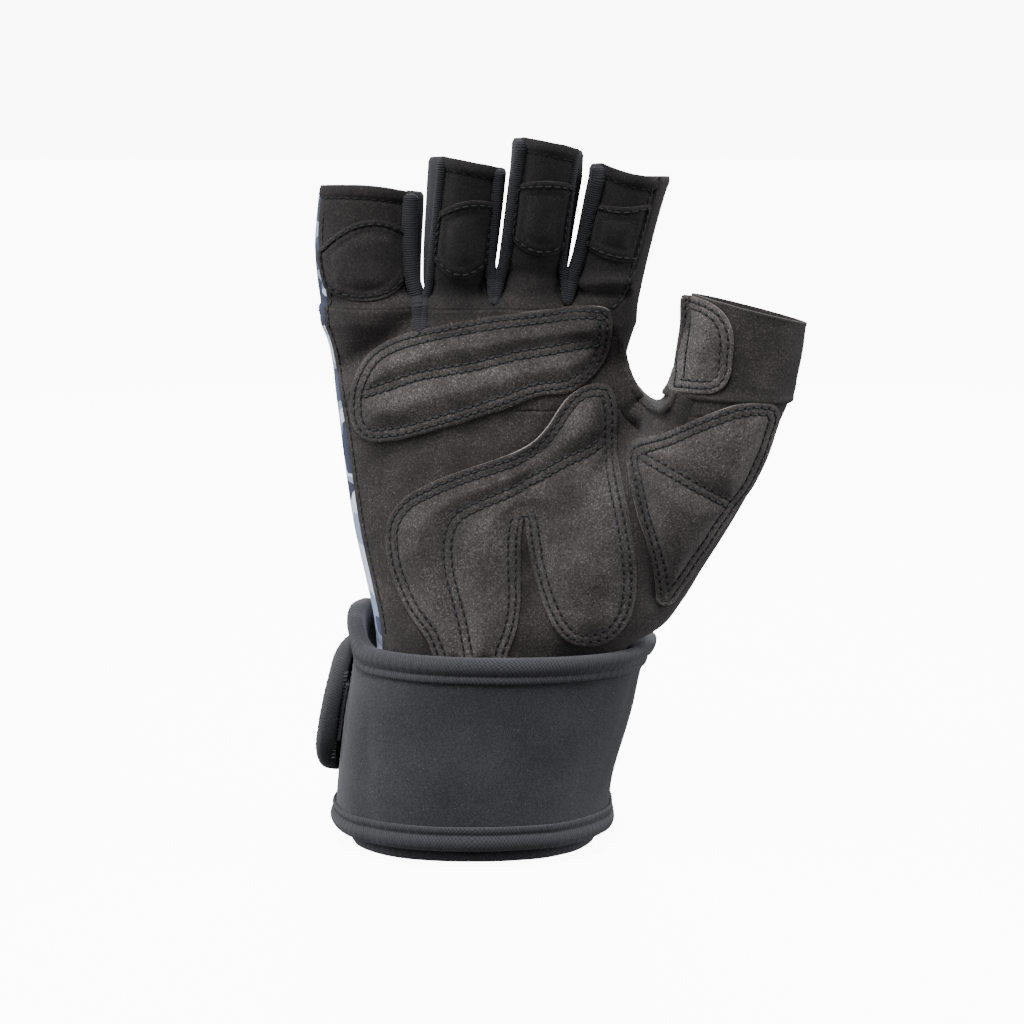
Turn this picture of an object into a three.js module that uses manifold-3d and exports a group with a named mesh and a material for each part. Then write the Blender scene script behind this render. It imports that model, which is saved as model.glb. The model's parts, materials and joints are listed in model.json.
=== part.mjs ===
// Weightlifting glove for the right hand: half fingers, padded palm, wrist wrap.
// Millimetres, +Z up along the fingers, palm faces -Y, thumb on +X.
// Origin: centre of the wrist opening at the lower edge of the cuff.
import * as THREE from 'three';
import Module from 'manifold-3d';

const wasm = await Module();
wasm.setup();

// driving sizes, mm
const height = 200;          // cuff's lower edge to the index finger's rim
const breadth = 100;         // across palm and thumb root, two fifths of the way up
const depth = 50;            // palm side to back at the thumb's ball
const wall = 1.4;            // palm, back and finger cloth with its lining
const cuffWall = 2.6;        // inner tube of the wrist
const padThickness = 1.8;    // palm pads over the palm panel
const patchThickness = 1.0;  // finger patches and thumb tab
const gap = 0.3;             // clearance between neighbouring pieces
const stripWidth = 14;       // side strips between the fingers
const panelFoot = 47;        // lower edge of palm and back under the wrap
const cuffFoot = 1.1;        // lower edge of the cuff inside its binding
const wrapThickness = 3;     // strap's padded cloth
const wrapLiftFoot = 2.4;    // strap over the cuff at its lower edge
const wrapLiftTop = 3.7;     // strap over the palm at its upper edge, clears the heel pad
const wrapFoot = 6;          // strap's lower edge
const wrapTop = 61.5;        // strap's upper edge at the palm
const wrapTopRise = 4;       // how much higher the strap stands at the back
const tabLift = 5.8;         // strap's end over its own start
const tabFoot = 23;          // lower edge of the strap's end
const tabTop = 57;           // upper edge of the strap's end
const endLift = 1.2;         // strap's rounded end stands off a little more
const hookThickness = 1.0;   // hook tape
const hookInset = 8;         // hook tape's edges inside the strap's end
const bindingLeg = 6.2;      // height of a bound edge
const bindingWall = 0.8;     // binding tape
const bindingGap = 0.42;     // binding to the sides of the edge inside it
const bindingRoom = 0.5;     // binding's fold to that edge
const cuffBindingLeg = 3.6;  // height of the cuff's bound edge
const ringCount = 30;        // corners round the hand
const thumbCount = 18;       // corners round the thumb
const fingerCount = 14;      // corners round a finger

// hand form
// up: share of height; left, right: share of breadth; front, back: share of depth
const bodyRows = [
  // up,   left,   right,  front,  back
  [-0.04, -0.365, 0.352, -0.53, 0.53],
  [0.10, -0.360, 0.366, -0.52, 0.51],
  [0.20, -0.330, 0.415, -0.50, 0.49],
  [0.30, -0.295, 0.462, -0.51, 0.46],
  [0.35, -0.302, 0.520, -0.53, 0.42],
  [0.40, -0.322, 0.525, -0.51, 0.40],
  [0.475, -0.355, 0.525, -0.46, 0.38],
  [0.55, -0.378, 0.515, -0.42, 0.37],
  [0.67, -0.406, 0.505, -0.41, 0.355],
  [0.695, -0.412, 0.476, -0.41, 0.35],
  [0.73, -0.419, 0.450, -0.41, 0.345],
  [0.77, -0.428, 0.458, -0.405, 0.33],
  [0.80, -0.436, 0.460, -0.395, 0.30],
  [0.82, -0.420, 0.440, -0.37, 0.25],
  [0.835, -0.260, 0.410, -0.31, 0.18],
  [0.8475, -0.130, 0.350, -0.20, 0.08],
];
const thumbRows = [
  // up,  left,  right, front, back, slant (share of height, little side up)
  [0.24, -0.10, 0.420, -0.44, 0.16, 0],
  [0.30, 0.00, 0.435, -0.45, 0.16, 0],
  [0.34, 0.06, 0.560, -0.53, 0.14, 0],
  [0.38, 0.11, 0.620, -0.56, 0.12, 0],
  [0.485, 0.275, 0.743, -0.60, 0.06, 0],
  [0.55, 0.380, 0.812, -0.62, 0.00, 0],
  [0.60, 0.455, 0.861, -0.63, -0.06, 0],
  [0.69, 0.553, 0.919, -0.65, -0.18, 0.006],
  [0.73, 0.585, 0.933, -0.66, -0.22, 0.011],
  [0.775, 0.610, 0.946, -0.68, -0.26, 0.017],
  [0.82, 0.633, 0.954, -0.69, -0.27, 0.021],
];
// one row per height: up (share of height), centre and half width (share of breadth),
// middle and half depth (share of depth)
const fingers = {
  little: [
    [0.790, -0.295, 0.146, -0.12, 0.24],
    [0.840, -0.303, 0.149, -0.13, 0.24],
    [0.905, -0.311, 0.150, -0.15, 0.23],
    [0.985, -0.300, 0.146, -0.17, 0.22],
  ],
  ring: [
    [0.790, -0.052, 0.098, -0.12, 0.24],
    [0.850, -0.043, 0.098, -0.17, 0.24],
    [0.930, -0.025, 0.100, -0.28, 0.23],
    [1.020, -0.005, 0.103, -0.40, 0.22],
  ],
  middle: [
    [0.790, 0.160, 0.096, -0.12, 0.24],
    [0.850, 0.171, 0.098, -0.17, 0.24],
    [0.940, 0.195, 0.101, -0.31, 0.23],
    [1.048, 0.223, 0.104, -0.47, 0.22],
  ],
  index: [
    [0.790, 0.366, 0.104, -0.12, 0.24],
    [0.850, 0.386, 0.106, -0.16, 0.24],
    [0.930, 0.418, 0.108, -0.25, 0.23],
    [1.005, 0.453, 0.111, -0.35, 0.22],
  ],
};
// line between two fingers: foot across, foot up, tip across
const gapLines = {
  littleRing: [-0.150, 0.79, -0.130],
  ringMiddle: [0.056, 0.79, 0.110],
  middleIndex: [0.262, 0.79, 0.340],
};
// creases of the palm side: from (across, up) to (across, up), width mm, depth mm (minus is a valley)
const folds = [
  [-0.40, 0.72, -0.16, 0.81, 4.5, -1.6],
  [0.40, 0.75, 0.20, 0.61, 5.0, -1.6],
  [0.49, 0.62, 0.53, 0.40, 5.0, -2.0],
  [0.15, 0.60, 0.15, 0.44, 4.5, -1.6],
  [-0.25, 0.60, 0.15, 0.66, 5.0, -1.0],
  [0.28, 0.845, 0.47, 0.845, 3.0, 1.2],
];

// outlines seen from the palm side: across (share of breadth), up (share of height)
const upperPadRows = [
  [-0.358, 0.683], [-0.345, 0.710], [-0.300, 0.748], [-0.233, 0.771], [-0.090, 0.793],
  [0.060, 0.806], [0.235, 0.8155], [0.375, 0.8165], [0.395, 0.800], [0.394, 0.765],
  [0.370, 0.733], [0.317, 0.708], [0.270, 0.697], [0.186, 0.6905], [0.090, 0.673],
  [-0.100, 0.6425], [-0.236, 0.6235], [-0.310, 0.6225], [-0.350, 0.643],
];
const heelPadRows = [
  [0.395, 0.695], [0.415, 0.673], [0.418, 0.622], [0.432, 0.570], [0.450, 0.527],
  [0.466, 0.475], [0.473, 0.423], [0.462, 0.380], [0.436, 0.354], [0.343, 0.328],
  [0.284, 0.3335], [0.240, 0.356], [0.205, 0.393], [0.177, 0.438], [0.160, 0.480],
  [0.149, 0.512], [0.138, 0.480], [0.136, 0.438], [0.138, 0.393], [0.125, 0.350],
  [0.100, 0.315], [0.090, 0.291], [0.000, 0.289], [-0.090, 0.291], [-0.141, 0.340],
  [-0.187, 0.371], [-0.222, 0.405], [-0.250, 0.450], [-0.252, 0.500], [-0.205, 0.5385],
  [-0.126, 0.562], [-0.050, 0.578], [0.126, 0.610], [0.178, 0.625], [0.218, 0.6465],
  [0.252, 0.673], [0.285, 0.690], [0.330, 0.698],
];
const thumbPadRows = [
  [0.450, 0.598], [0.460, 0.614], [0.484, 0.6255], [0.554, 0.642], [0.625, 0.6605],
  [0.696, 0.6765], [0.757, 0.6855], [0.821, 0.6865], [0.862, 0.680], [0.876, 0.662],
  [0.866, 0.6395], [0.845, 0.603], [0.808, 0.562], [0.756, 0.524], [0.700, 0.480],
  [0.652, 0.4435], [0.605, 0.407], [0.575, 0.388], [0.540, 0.388], [0.535, 0.407],
  [0.524, 0.444], [0.500, 0.490], [0.484, 0.514], [0.465, 0.5505], [0.452, 0.584],
];
const thumbTabRows = [
  [0.540, 0.830], [0.621, 0.836], [0.646, 0.834], [0.679, 0.829], [0.706, 0.820],
  [0.727, 0.8045], [0.739, 0.781], [0.738, 0.754], [0.733, 0.731], [0.717, 0.714],
  [0.692, 0.7045], [0.658, 0.7015], [0.600, 0.7015], [0.530, 0.7015],
];
// finger patches: upper edge at its two ends and middle, lower edge likewise (shares of height)
const patchRows = {
  little: [0.897, 0.939, 0.928, 0.845, 0.829, 0.858],
  ring: [0.955, 0.972, 0.968, 0.888, 0.864, 0.878],
  middle: [0.996, 1.001, 0.995, 0.920, 0.897, 0.905],
  index: [0.966, 0.964, 0.966, 0.906, 0.889, 0.886],
};
// seam between the index finger's front and the side strip: across, up
const gussetSeam = [
  [0.525, 1.060], [0.504, 1.003], [0.482, 0.963], [0.458, 0.912], [0.448, 0.858],
  [0.430, 0.828], [0.404, 0.810], [0.407, 0.770], [0.410, 0.733], [0.434, 0.694],
  [0.480, 0.672], [0.535, 0.666],
];
// ulnar and radial seams between palm and back: up, y (share of depth)
const ulnarSeam = [[0.2, -0.10], [0.4, -0.14], [0.6, -0.15], [0.79, -0.14]];
const radialSeam = [[0.2, -0.04], [0.35, -0.16], [0.5, -0.26], [0.6, -0.33], [0.70, -0.40]];

// plain solids
function solid(points, faces) {
  let volume = 0;
  for (const [a, b, c] of faces) {
    const [p, q, r] = [points[a], points[b], points[c]];
    volume += p[0] * (q[1] * r[2] - q[2] * r[1]);
    volume += p[1] * (q[2] * r[0] - q[0] * r[2]);
    volume += p[2] * (q[0] * r[1] - q[1] * r[0]);
  }
  const order = volume < 0 ? faces.map(([a, b, c]) => [a, c, b]) : faces;
  const mesh = new wasm.Mesh({
    numProp: 3,
    vertProperties: new Float32Array(points.flat()),
    triVerts: new Uint32Array(order.flat()),
  });
  return new wasm.Manifold(mesh);
}

// closed body through rings of equal count, ends closed to their centres
function loft(rings) {
  const n = rings[0].length;
  const points = rings.flat();
  const faces = [];
  for (let k = 0; k + 1 < rings.length; k++) {
    for (let i = 0; i < n; i++) {
      const a = k * n + i;
      const b = k * n + (i + 1) % n;
      faces.push([a, b, b + n], [a, b + n, a + n]);
    }
  }
  for (const [k, flip] of [[0, true], [rings.length - 1, false]]) {
    const centre = [0, 1, 2].map((c) => rings[k].reduce((s, p) => s + p[c], 0) / n);
    const m = points.push(centre) - 1;
    for (let i = 0; i < n; i++) {
      const a = k * n + i;
      const b = k * n + (i + 1) % n;
      faces.push(flip ? [b, a, m] : [a, b, m]);
    }
  }
  return solid(points, faces);
}

// outline carried straight from one plane to another; place turns (u, v, t) into (x, y, z)
function carried(outline, from, to, place) {
  const n = outline.length;
  const flat = outline.map(([u, v]) => new THREE.Vector2(u, v));
  const caps = THREE.ShapeUtils.triangulateShape(flat, []);
  const points = [];
  for (const t of [from, to]) {
    for (const [u, v] of outline) points.push(place(u, v, t));
  }
  const turned = THREE.ShapeUtils.isClockWise(flat);
  const faces = [];
  for (const [a, b, c] of caps) {
    faces.push([a, c, b], [a + n, b + n, c + n]);
  }
  for (let i = 0; i < n; i++) {
    const j = (i + 1) % n;
    faces.push([i, j, j + n], [i, j + n, i + n]);
  }
  // caps come counter-clockwise whatever the outline's sense, so the sides follow the outline
  if (turned) {
    for (let k = caps.length * 2; k < faces.length; k++) {
      const [a, b, c] = faces[k];
      faces[k] = [a, c, b];
    }
  }
  return solid(points, faces);
}
const seenFromPalm = (outline, near, far) => carried(outline, near, far, (u, v, t) => [u, t, v]);
const seenFromSide = (outline, near, far) => carried(outline, near, far, (u, v, t) => [t, u, v]);
const together = (solids) => solids.reduce((a, b) => a.add(b));

// reading the tables
function between(rows, up) {
  if (up <= rows[0][0]) return rows[0];
  for (let k = 0; k + 1 < rows.length; k++) {
    if (up <= rows[k + 1][0]) {
      const t = (up - rows[k][0]) / (rows[k + 1][0] - rows[k][0]);
      return rows[k].map((v, c) => v + (rows[k + 1][c] - v) * t);
    }
  }
  return rows[rows.length - 1];
}
const bump = (value, power) => Math.sign(value) * Math.abs(value) ** power;

function foldAt(x, z) {
  let sum = 0;
  for (const [x0, z0, x1, z1, width, high] of folds) {
    const ax = x0 * breadth;
    const az = z0 * height;
    const dx = x1 * breadth - ax;
    const dz = z1 * height - az;
    const t = Math.min(1, Math.max(0, ((x - ax) * dx + (z - az) * dz) / (dx * dx + dz * dz)));
    const away = Math.hypot(x - ax - t * dx, z - az - t * dz) / width;
    sum += high * Math.exp(-away * away);
  }
  return sum;
}

// ring of the form at one table row, moved outward by off
function ring(left, right, front, back, z, off, count, power, slant = 0) {
  const points = [];
  const halfWidth = (right - left) / 2 + off;
  const halfDepth = (back - front) / 2 + off;
  for (let i = 0; i < count; i++) {
    const turn = (i / count) * 2 * Math.PI;
    const across = bump(Math.cos(turn), power);
    const toBack = bump(Math.sin(turn), power);
    const x = (left + right) / 2 + halfWidth * across;
    const palmSide = Math.min(1, Math.max(0, -toBack * 1.6 - 0.2));
    const y = (front + back) / 2 + halfDepth * toBack - palmSide * foldAt(x, z);
    points.push([x, y, z - slant * across]);
  }
  return points;
}

function bodyForm(off) {
  const last = bodyRows.length - 1;
  return loft(bodyRows.map(([up, l, r, f, b], k) => ring(
    l * breadth, r * breadth, f * depth, b * depth,
    up * height + (k === last ? off : 0), off, ringCount, 0.86)));
}
function thumbForm(off, over) {
  const last = thumbRows.length - 1;
  const rings = thumbRows.map(([up, l, r, f, b, s]) => ring(
    l * breadth, r * breadth, f * depth, b * depth, up * height, off, thumbCount, 0.92, s * height));
  if (over) rings.push(rings[last].map(([x, y, z]) => [x, y, z + over]));
  return loft(rings);
}
function fingerForm(name, off, over) {
  const rows = fingers[name];
  const rings = rows.map(([up, centre, half, middle, deep]) => ring(
    (centre - half) * breadth, (centre + half) * breadth,
    (middle - deep) * depth, (middle + deep) * depth, up * height, off, fingerCount, 0.90));
  if (over) rings.push(rings[rows.length - 1].map(([x, y, z]) => [x, y, z + over]));
  return loft(rings);
}
const made = new Map();
function form(off, over) {
  const key = `${off}/${over}`;
  if (!made.has(key)) {
    const parts = [bodyForm(off), thumbForm(off, over)];
    for (const name of Object.keys(fingers)) parts.push(fingerForm(name, off, over));
    made.set(key, together(parts));
  }
  return made.get(key);
}

// regions
const fingerNames = Object.keys(fingers);
const web = 0.79 * height;
const roof = 1.12 * height;
const middleOf = (name, z) => between(fingers[name], z / height)[3] * depth;
const centreOf = (name, z) => between(fingers[name], z / height)[1] * breadth;
const levels = [web, 0.85 * height, 0.93 * height, 1.0 * height, roof];

// everything on one side of a line y(z), between two x planes
function sideOf(lineOfZ, zs, sign, xFrom, xTo) {
  const edge = zs.map((z) => [lineOfZ(z), z]);
  const far = 90 * sign;
  return seenFromSide([...edge, [far, zs[zs.length - 1]], [far, zs[0]]], xFrom, xTo);
}
function bandOf(lineOfZ, zs, half, xFrom, xTo) {
  const near = zs.map((z) => [lineOfZ(z) - half, z]);
  const far = zs.map((z) => [lineOfZ(z) + half, z]).reverse();
  return seenFromSide([...near, ...far], xFrom, xTo);
}
// column of space that belongs to one finger, between the lines at its two sides
const lines = [null, gapLines.littleRing, gapLines.ringMiddle, gapLines.middleIndex, null];
function column(index, inset) {
  const low = lines[index];
  const high = lines[index + 1];
  const left = low ? [low[0] * breadth + inset, low[2] * breadth + inset] : [-90, -90];
  const right = high ? [high[0] * breadth - inset, high[2] * breadth - inset] : [120, 120];
  return seenFromPalm([[left[0], web], [right[0], web], [right[1], roof], [left[1], roof]], -90, 90);
}
const seamLine = (rows) => (z) => between(rows, z / height)[1] * depth;
const footLevels = [panelFoot, 0.3 * height, 0.4 * height, 0.5 * height, 0.6 * height, 0.7 * height];
const splitX = 0.1 * breadth;

function frontRegion() {
  const parts = [
    sideOf(seamLine(ulnarSeam), [...footLevels, web], -1, -90, splitX),
    sideOf(seamLine(radialSeam), [...footLevels, web], -1, splitX, 120),
  ];
  fingerNames.forEach((name, k) => {
    const middle = (z) => middleOf(name, z);
    const edge = k === 0 ? (z) => middle(z) - 2.6 : (z) => middle(z) - stripWidth / 2;
    const x = centreOf(name, web);
    parts.push(together([
      sideOf(edge, levels, -1, -90, x),
      sideOf((z) => middle(z) - stripWidth / 2, levels, -1, x, 120),
    ]).intersect(column(k, 0)));
  });
  return together(parts);
}
function backRegion() {
  const parts = [
    sideOf((z) => seamLine(ulnarSeam)(z) + gap, [...footLevels, web], 1, -90, splitX),
    sideOf((z) => seamLine(radialSeam)(z) + gap, [...footLevels, web], 1, splitX, 120),
  ];
  fingerNames.forEach((name, k) => {
    const middle = (z) => middleOf(name, z);
    const edge = k === 0 ? (z) => middle(z) - 2.6 + gap : (z) => middle(z) + stripWidth / 2;
    const x = centreOf(name, web);
    parts.push(together([
      sideOf(edge, levels, 1, -90, x),
      sideOf((z) => middle(z) + stripWidth / 2, levels, 1, x, 120),
    ]).intersect(column(k, 0)));
  });
  return together(parts);
}
// side strips: half a strip on each neighbour, joined over the web
function stripRegion(k, half) {
  const [a, b] = [fingerNames[k], fingerNames[k + 1]];
  const zs = [web - 2, ...levels.slice(1)];
  const left = bandOf((z) => middleOf(a, z), zs, half, centreOf(a, web), 120);
  const right = bandOf((z) => middleOf(b, z), zs, half, -90, centreOf(b, web) - 2);
  const line = gapLines[Object.keys(gapLines)[k]];
  const reach = 30;
  const x0 = line[0] * breadth;
  const x1 = line[2] * breadth;
  const leftSpace = [[x0 - reach, web - 2], [x0 + 0.02, web - 2], [x1 + 0.02, roof], [x1 - reach, roof]];
  const rightSpace = [[x0, web - 2], [x0 + reach, web - 2], [x1 + reach, roof], [x1, roof]];
  return together([
    left.intersect(seenFromPalm(leftSpace, -90, 90)),
    right.intersect(seenFromPalm(rightSpace, -90, 90)),
  ]);
}
function gussetRegion(grow) {
  const seam = gussetSeam.map(([u, v]) => [u * breadth - grow, v * height - grow * 0.5]);
  const outer = [[0.545, 0.680], [0.540, 0.70], [0.560, 0.75], [0.580, 0.85], [0.70, 1.06]];
  const space = [...seam, ...outer.map(([u, v]) => [u * breadth + grow, v * height])];
  const zs = [0.6 * height, ...levels];
  const backEdge = (z) => middleOf('index', z) + stripWidth / 2 + 1.5 + grow;
  return seenFromPalm(space, -90, 60).intersect(sideOf(backEdge, zs, -1, -90, 120));
}
function thumbRegion(grow) {
  const outline = [[0.545, 0.69], [0.99, 0.69], [0.99, 0.95], [0.60, 0.95], [0.565, 0.75]];
  const space = outline.map(([u, v], i) => [
    u * breadth - (i === 1 || i === 2 ? 0 : grow),
    v * height - (i < 2 ? grow : 0),
  ]);
  return seenFromPalm(space, -90, 90);
}

// shell pieces
const shell = form(0, 0).subtract(form(-wall, 8));
const frontSpace = frontRegion();
const backSpace = backRegion();
const strips = [0, 1, 2].map((k) => stripRegion(k, stripWidth / 2 - gap));
const cutStrips = together([0, 1, 2].map((k) => stripRegion(k, stripWidth / 2)));
const neighbours = together([gussetRegion(gap), thumbRegion(gap), cutStrips]);

// closed smooth outline through the rows
function smooth(rows, count) {
  const curve = new THREE.CatmullRomCurve3(
    rows.map(([u, v]) => new THREE.Vector3(u * breadth, v * height, 0)), true, 'centripetal');
  return curve.getPoints(count).slice(0, count).map((p) => [p.x, p.y]);
}
function layer(off, thickness) {
  return form(off + thickness, 8).subtract(form(off, 8));
}
const padLayer = layer(gap, padThickness);
const patchLayer = layer(gap, patchThickness);
const padPiece = (rows, count, far) => padLayer.intersect(seenFromPalm(smooth(rows, count), -90, far));

function patchOutline(name) {
  const [l0, m0, r0, l1, m1, r1] = patchRows[name];
  const arc = (l, m, r, u) => (l + (r - l) * u + (m - (l + r) / 2) * 4 * u * (1 - u)) * height;
  const points = [];
  const inset = 0.12;
  for (const [l, m, r, way] of [[l0, m0, r0, 1], [l1, m1, r1, -1]]) {
    for (let i = 0; i <= 8; i++) {
      const u = way > 0 ? i / 8 : 1 - i / 8;
      const z = arc(l, m, r, u);
      const [, centre, half] = between(fingers[name], z / height);
      const across = centre + half * (2 * u - 1) * (1 - inset);
      points.push([across * breadth, z]);
    }
  }
  return points;
}
const patchPiece = (name) => patchLayer
  .intersect(seenFromPalm(patchOutline(name), -90, middleOf(name, 0.9 * height)))
  .intersect(column(fingerNames.indexOf(name), 1.5));

// wrist pieces
// turn 0 is the little-finger side, 90 the palm side, 180 the thumb side, 270 the back
function wristPoint(turn, z, off) {
  const [, l, r, f, b] = between(bodyRows, z / height);
  const angle = turn * Math.PI / 180;
  const halfWidth = (r - l) / 2 * breadth + off;
  const halfDepth = (b - f) / 2 * depth + off;
  return [
    (l + r) / 2 * breadth - halfWidth * bump(Math.cos(angle), 0.86),
    (f + b) / 2 * depth - halfDepth * bump(Math.sin(angle), 0.86),
    z,
  ];
}
const ease = (t) => {
  const s = Math.min(1, Math.max(0, t));
  return s * s * (3 - 2 * s);
};
const strapStart = -25;      // degrees, just behind the little-finger side
const strapEnd = 370;
const tabStart = 292;        // strap narrows and lifts to its closing end from here
const tabSweep = 36;
const boundEnd = 350;        // bindings stop here, the strap's end is rounded from here on
const endSweep = 18;
const strapSteps = 34;
const toTab = (turn) => ease((turn - tabStart) / tabSweep);
const riseStart = 215;       // upper edge climbs at the back of the hand
const riseSweep = 55;
const startRise = 9;           // and near its start on the little-finger side
const startRiseEnd = 30;
const startRiseSweep = 44;
const topAt = (turn) => {
  const back = ease((turn - riseStart) / riseSweep) * (1 - ease((turn - tabStart) / tabSweep));
  const start = ease((startRiseEnd - turn) / startRiseSweep);
  return wrapTop + wrapTopRise * back + startRise * start + (tabTop - wrapTop) * toTab(turn);
};
const footAt = (turn) => wrapFoot + (tabFoot - wrapFoot) * toTab(turn);
// rounded end of the strap
const roundEnd = (turn) => Math.sqrt(1 - ease((turn - boundEnd) / endSweep) ** 2 * 0.9);
const liftAt = (turn, z) => {
  const rise = wrapLiftFoot + (wrapLiftTop - wrapLiftFoot) * (z - wrapFoot) / (wrapTop - wrapFoot);
  return rise + tabLift * toTab(turn) + endLift * ease((turn - boundEnd) / endSweep);
};

function strap() {
  const rings = [];
  const turns = [];
  for (let k = 0; k < strapSteps; k++) {
    turns.push(strapStart + (boundEnd - strapStart) * k / strapSteps);
  }
  for (const share of [0, 0.35, 0.6, 0.8, 1]) {
    turns.push(boundEnd + (strapEnd - boundEnd) * share);
  }
  for (const turn of turns) {
    const middle = (topAt(turn) + footAt(turn)) / 2;
    const half = (topAt(turn) - footAt(turn)) / 2;
    const shares = [-1, bindingLeg / half - 1, 0, 1 - bindingLeg / half, 1];
    const outer = [];
    const inner = [];
    for (const share of shares) {
      const z = middle + half * roundEnd(turn) * share;
      inner.push(wristPoint(turn, z, liftAt(turn, z)));
      outer.push(wristPoint(turn, z, liftAt(turn, z) + wrapThickness));
    }
    rings.push([...inner, ...outer.reverse()]);
  }
  return loft(rings);
}

// tape folded over an edge; sign +1 caps an upper edge, -1 a lower edge
function binding(turns, edgeAt, liftOf, thick, leg, sign, closed) {
  const rings = turns.map((turn) => {
    const z = edgeAt(turn);
    const low = z - sign * leg;
    const high = z + sign * bindingRoom;
    const top = high + sign * bindingWall;
    const at = (zz, off) => wristPoint(turn, zz, liftOf(turn, Math.abs(zz)) + off);
    const inside = -bindingGap;
    const outside = thick + bindingGap;
    return [
      at(low, inside - bindingWall), at(top, inside - bindingWall),
      at(top, outside + bindingWall), at(low, outside + bindingWall),
      at(low, outside), at(high, outside), at(high, inside), at(low, inside),
    ];
  });
  const n = 8;
  const count = rings.length;
  const faces = [];
  for (let k = 0; k < (closed ? count : count - 1); k++) {
    for (let i = 0; i < n; i++) {
      const a = k * n + i;
      const b = k * n + (i + 1) % n;
      const c = ((k + 1) % count) * n + (i + 1) % n;
      const d = ((k + 1) % count) * n + i;
      faces.push([a, b, c], [a, c, d]);
    }
  }
  if (!closed) {
    const last = (count - 1) * n;
    for (const [a, b, c, d] of [[0, 1, 6, 7], [1, 2, 5, 6], [2, 3, 4, 5]]) {
      faces.push([c, b, a], [d, c, a]);
      faces.push([last + a, last + b, last + c], [last + a, last + c, last + d]);
    }
  }
  return solid(rings.flat(), faces);
}
function range(from, to, count, open) {
  const values = [];
  for (let i = 0; i < (open ? count : count + 1); i++) values.push(from + (to - from) * i / count);
  return values;
}

const cuffTop = panelFoot - gap;
const cuffSpace = seenFromPalm(
  [[-80, cuffFoot], [80, cuffFoot], [80, cuffTop], [-80, cuffTop]], -80, 80);
const cuff = bodyForm(0).subtract(bodyForm(-cuffWall)).intersect(cuffSpace);
const cuffBinding = binding(
  range(0, 360, ringCount, true), () => cuffFoot, () => -cuffWall, cuffWall,
  cuffBindingLeg, -1, true);
const strapTurns = range(strapStart, boundEnd, strapSteps, false);
const topBinding = binding(strapTurns, topAt, liftAt, wrapThickness, bindingLeg, 1, false);
const footBinding = binding(strapTurns, footAt, liftAt, wrapThickness, bindingLeg, -1, false);

function hookTape() {
  const rings = range(-20, 6, 4, false).map((turn) => {
    const inner = [];
    const outer = [];
    for (const z of range(tabFoot + hookInset, tabTop - hookInset, 3, false)) {
      const lift = liftAt(0, z) + wrapThickness + gap + 0.1;
      inner.push(wristPoint(turn, z, lift));
      outer.push(wristPoint(turn, z, lift + hookThickness));
    }
    return [...inner, ...outer.reverse()];
  });
  return loft(rings);
}

// nodes
const group = new THREE.Group();
group.name = 'weightlifting_glove';

// keeps the largest connected body and drops slivers left by the cuts
function largest(points, faces) {
  const parent = points.map((_, i) => i);
  const root = (i) => {
    let k = i;
    while (parent[k] !== k) k = parent[k];
    return k;
  };
  for (const [a, b, c] of faces) {
    parent[root(a)] = root(b);
    parent[root(b)] = root(c);
  }
  const size = new Map();
  for (const face of faces) {
    const r = root(face[0]);
    size.set(r, (size.get(r) ?? 0) + 1);
  }
  const best = [...size.entries()].sort((p, q) => q[1] - p[1])[0][0];
  return faces.filter((face) => root(face[0]) === best);
}

function piece(name, body, colour) {
  const mesh = body.getMesh();
  const points = [];
  for (let i = 0; i < mesh.vertProperties.length; i += mesh.numProp) {
    points.push([...mesh.vertProperties.slice(i, i + 3)]);
  }
  const all = [];
  for (let i = 0; i < mesh.triVerts.length; i += 3) all.push([...mesh.triVerts.slice(i, i + 3)]);
  const faces = largest(points, all);
  const geometry = new THREE.BufferGeometry();
  const positions = new Float32Array(points.flat());
  geometry.setAttribute('position', new THREE.BufferAttribute(positions, 3));
  geometry.setIndex(faces.flat());
  const flat = geometry.toNonIndexed();
  flat.computeVertexNormals();
  const node = new THREE.Mesh(flat, new THREE.MeshStandardMaterial({ color: colour, roughness: 0.9 }));
  node.name = name;
  group.add(node);
}

piece('palm_panel', shell.intersect(frontSpace).subtract(neighbours), 0x4a4746);
piece('back_panel', shell.intersect(backSpace).subtract(neighbours), 0x8d99ad);
piece('fourchette_little_ring', shell.intersect(strips[0]), 0x26252a);
piece('fourchette_ring_middle', shell.intersect(strips[1]), 0x26252a);
piece('fourchette_middle_index', shell.intersect(strips[2]), 0x26252a);
piece('index_gusset', shell.intersect(gussetRegion(0)), 0x3c393c);
piece('thumb_sleeve', shell.intersect(thumbRegion(0)), 0x3c393c);
piece('upper_palm_pad', padPiece(upperPadRows, 44, -0.1 * depth), 0x55504f);
piece('heel_pad', padPiece(heelPadRows, 76, -0.16 * depth), 0x55504f);
piece('thumb_pad', padPiece(thumbPadRows, 46, -0.36 * depth), 0x55504f);
piece('thumb_tab', patchLayer.intersect(
  seenFromPalm(smooth(thumbTabRows, 30), -90, -0.47 * depth)), 0x4a4647);
for (const name of fingerNames) piece(`finger_patch_${name}`, patchPiece(name), 0x4a4647);
piece('wrist_cuff', cuff, 0x3b3c40);
piece('cuff_binding', cuffBinding, 0x55555a);
piece('wrist_wrap', strap(), 0x5a5b60);
piece('wrap_binding_top', topBinding, 0x55555a);
piece('wrap_binding_bottom', footBinding, 0x55555a);
piece('hook_patch', hookTape(), 0x1c1c20);

export default group;
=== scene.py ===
"""Weightlifting glove for the right hand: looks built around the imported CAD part."""
import json
import math

import bmesh
import bpy
import numpy as np
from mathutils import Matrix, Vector
from mathutils.geometry import delaunay_2d_cdt

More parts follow.
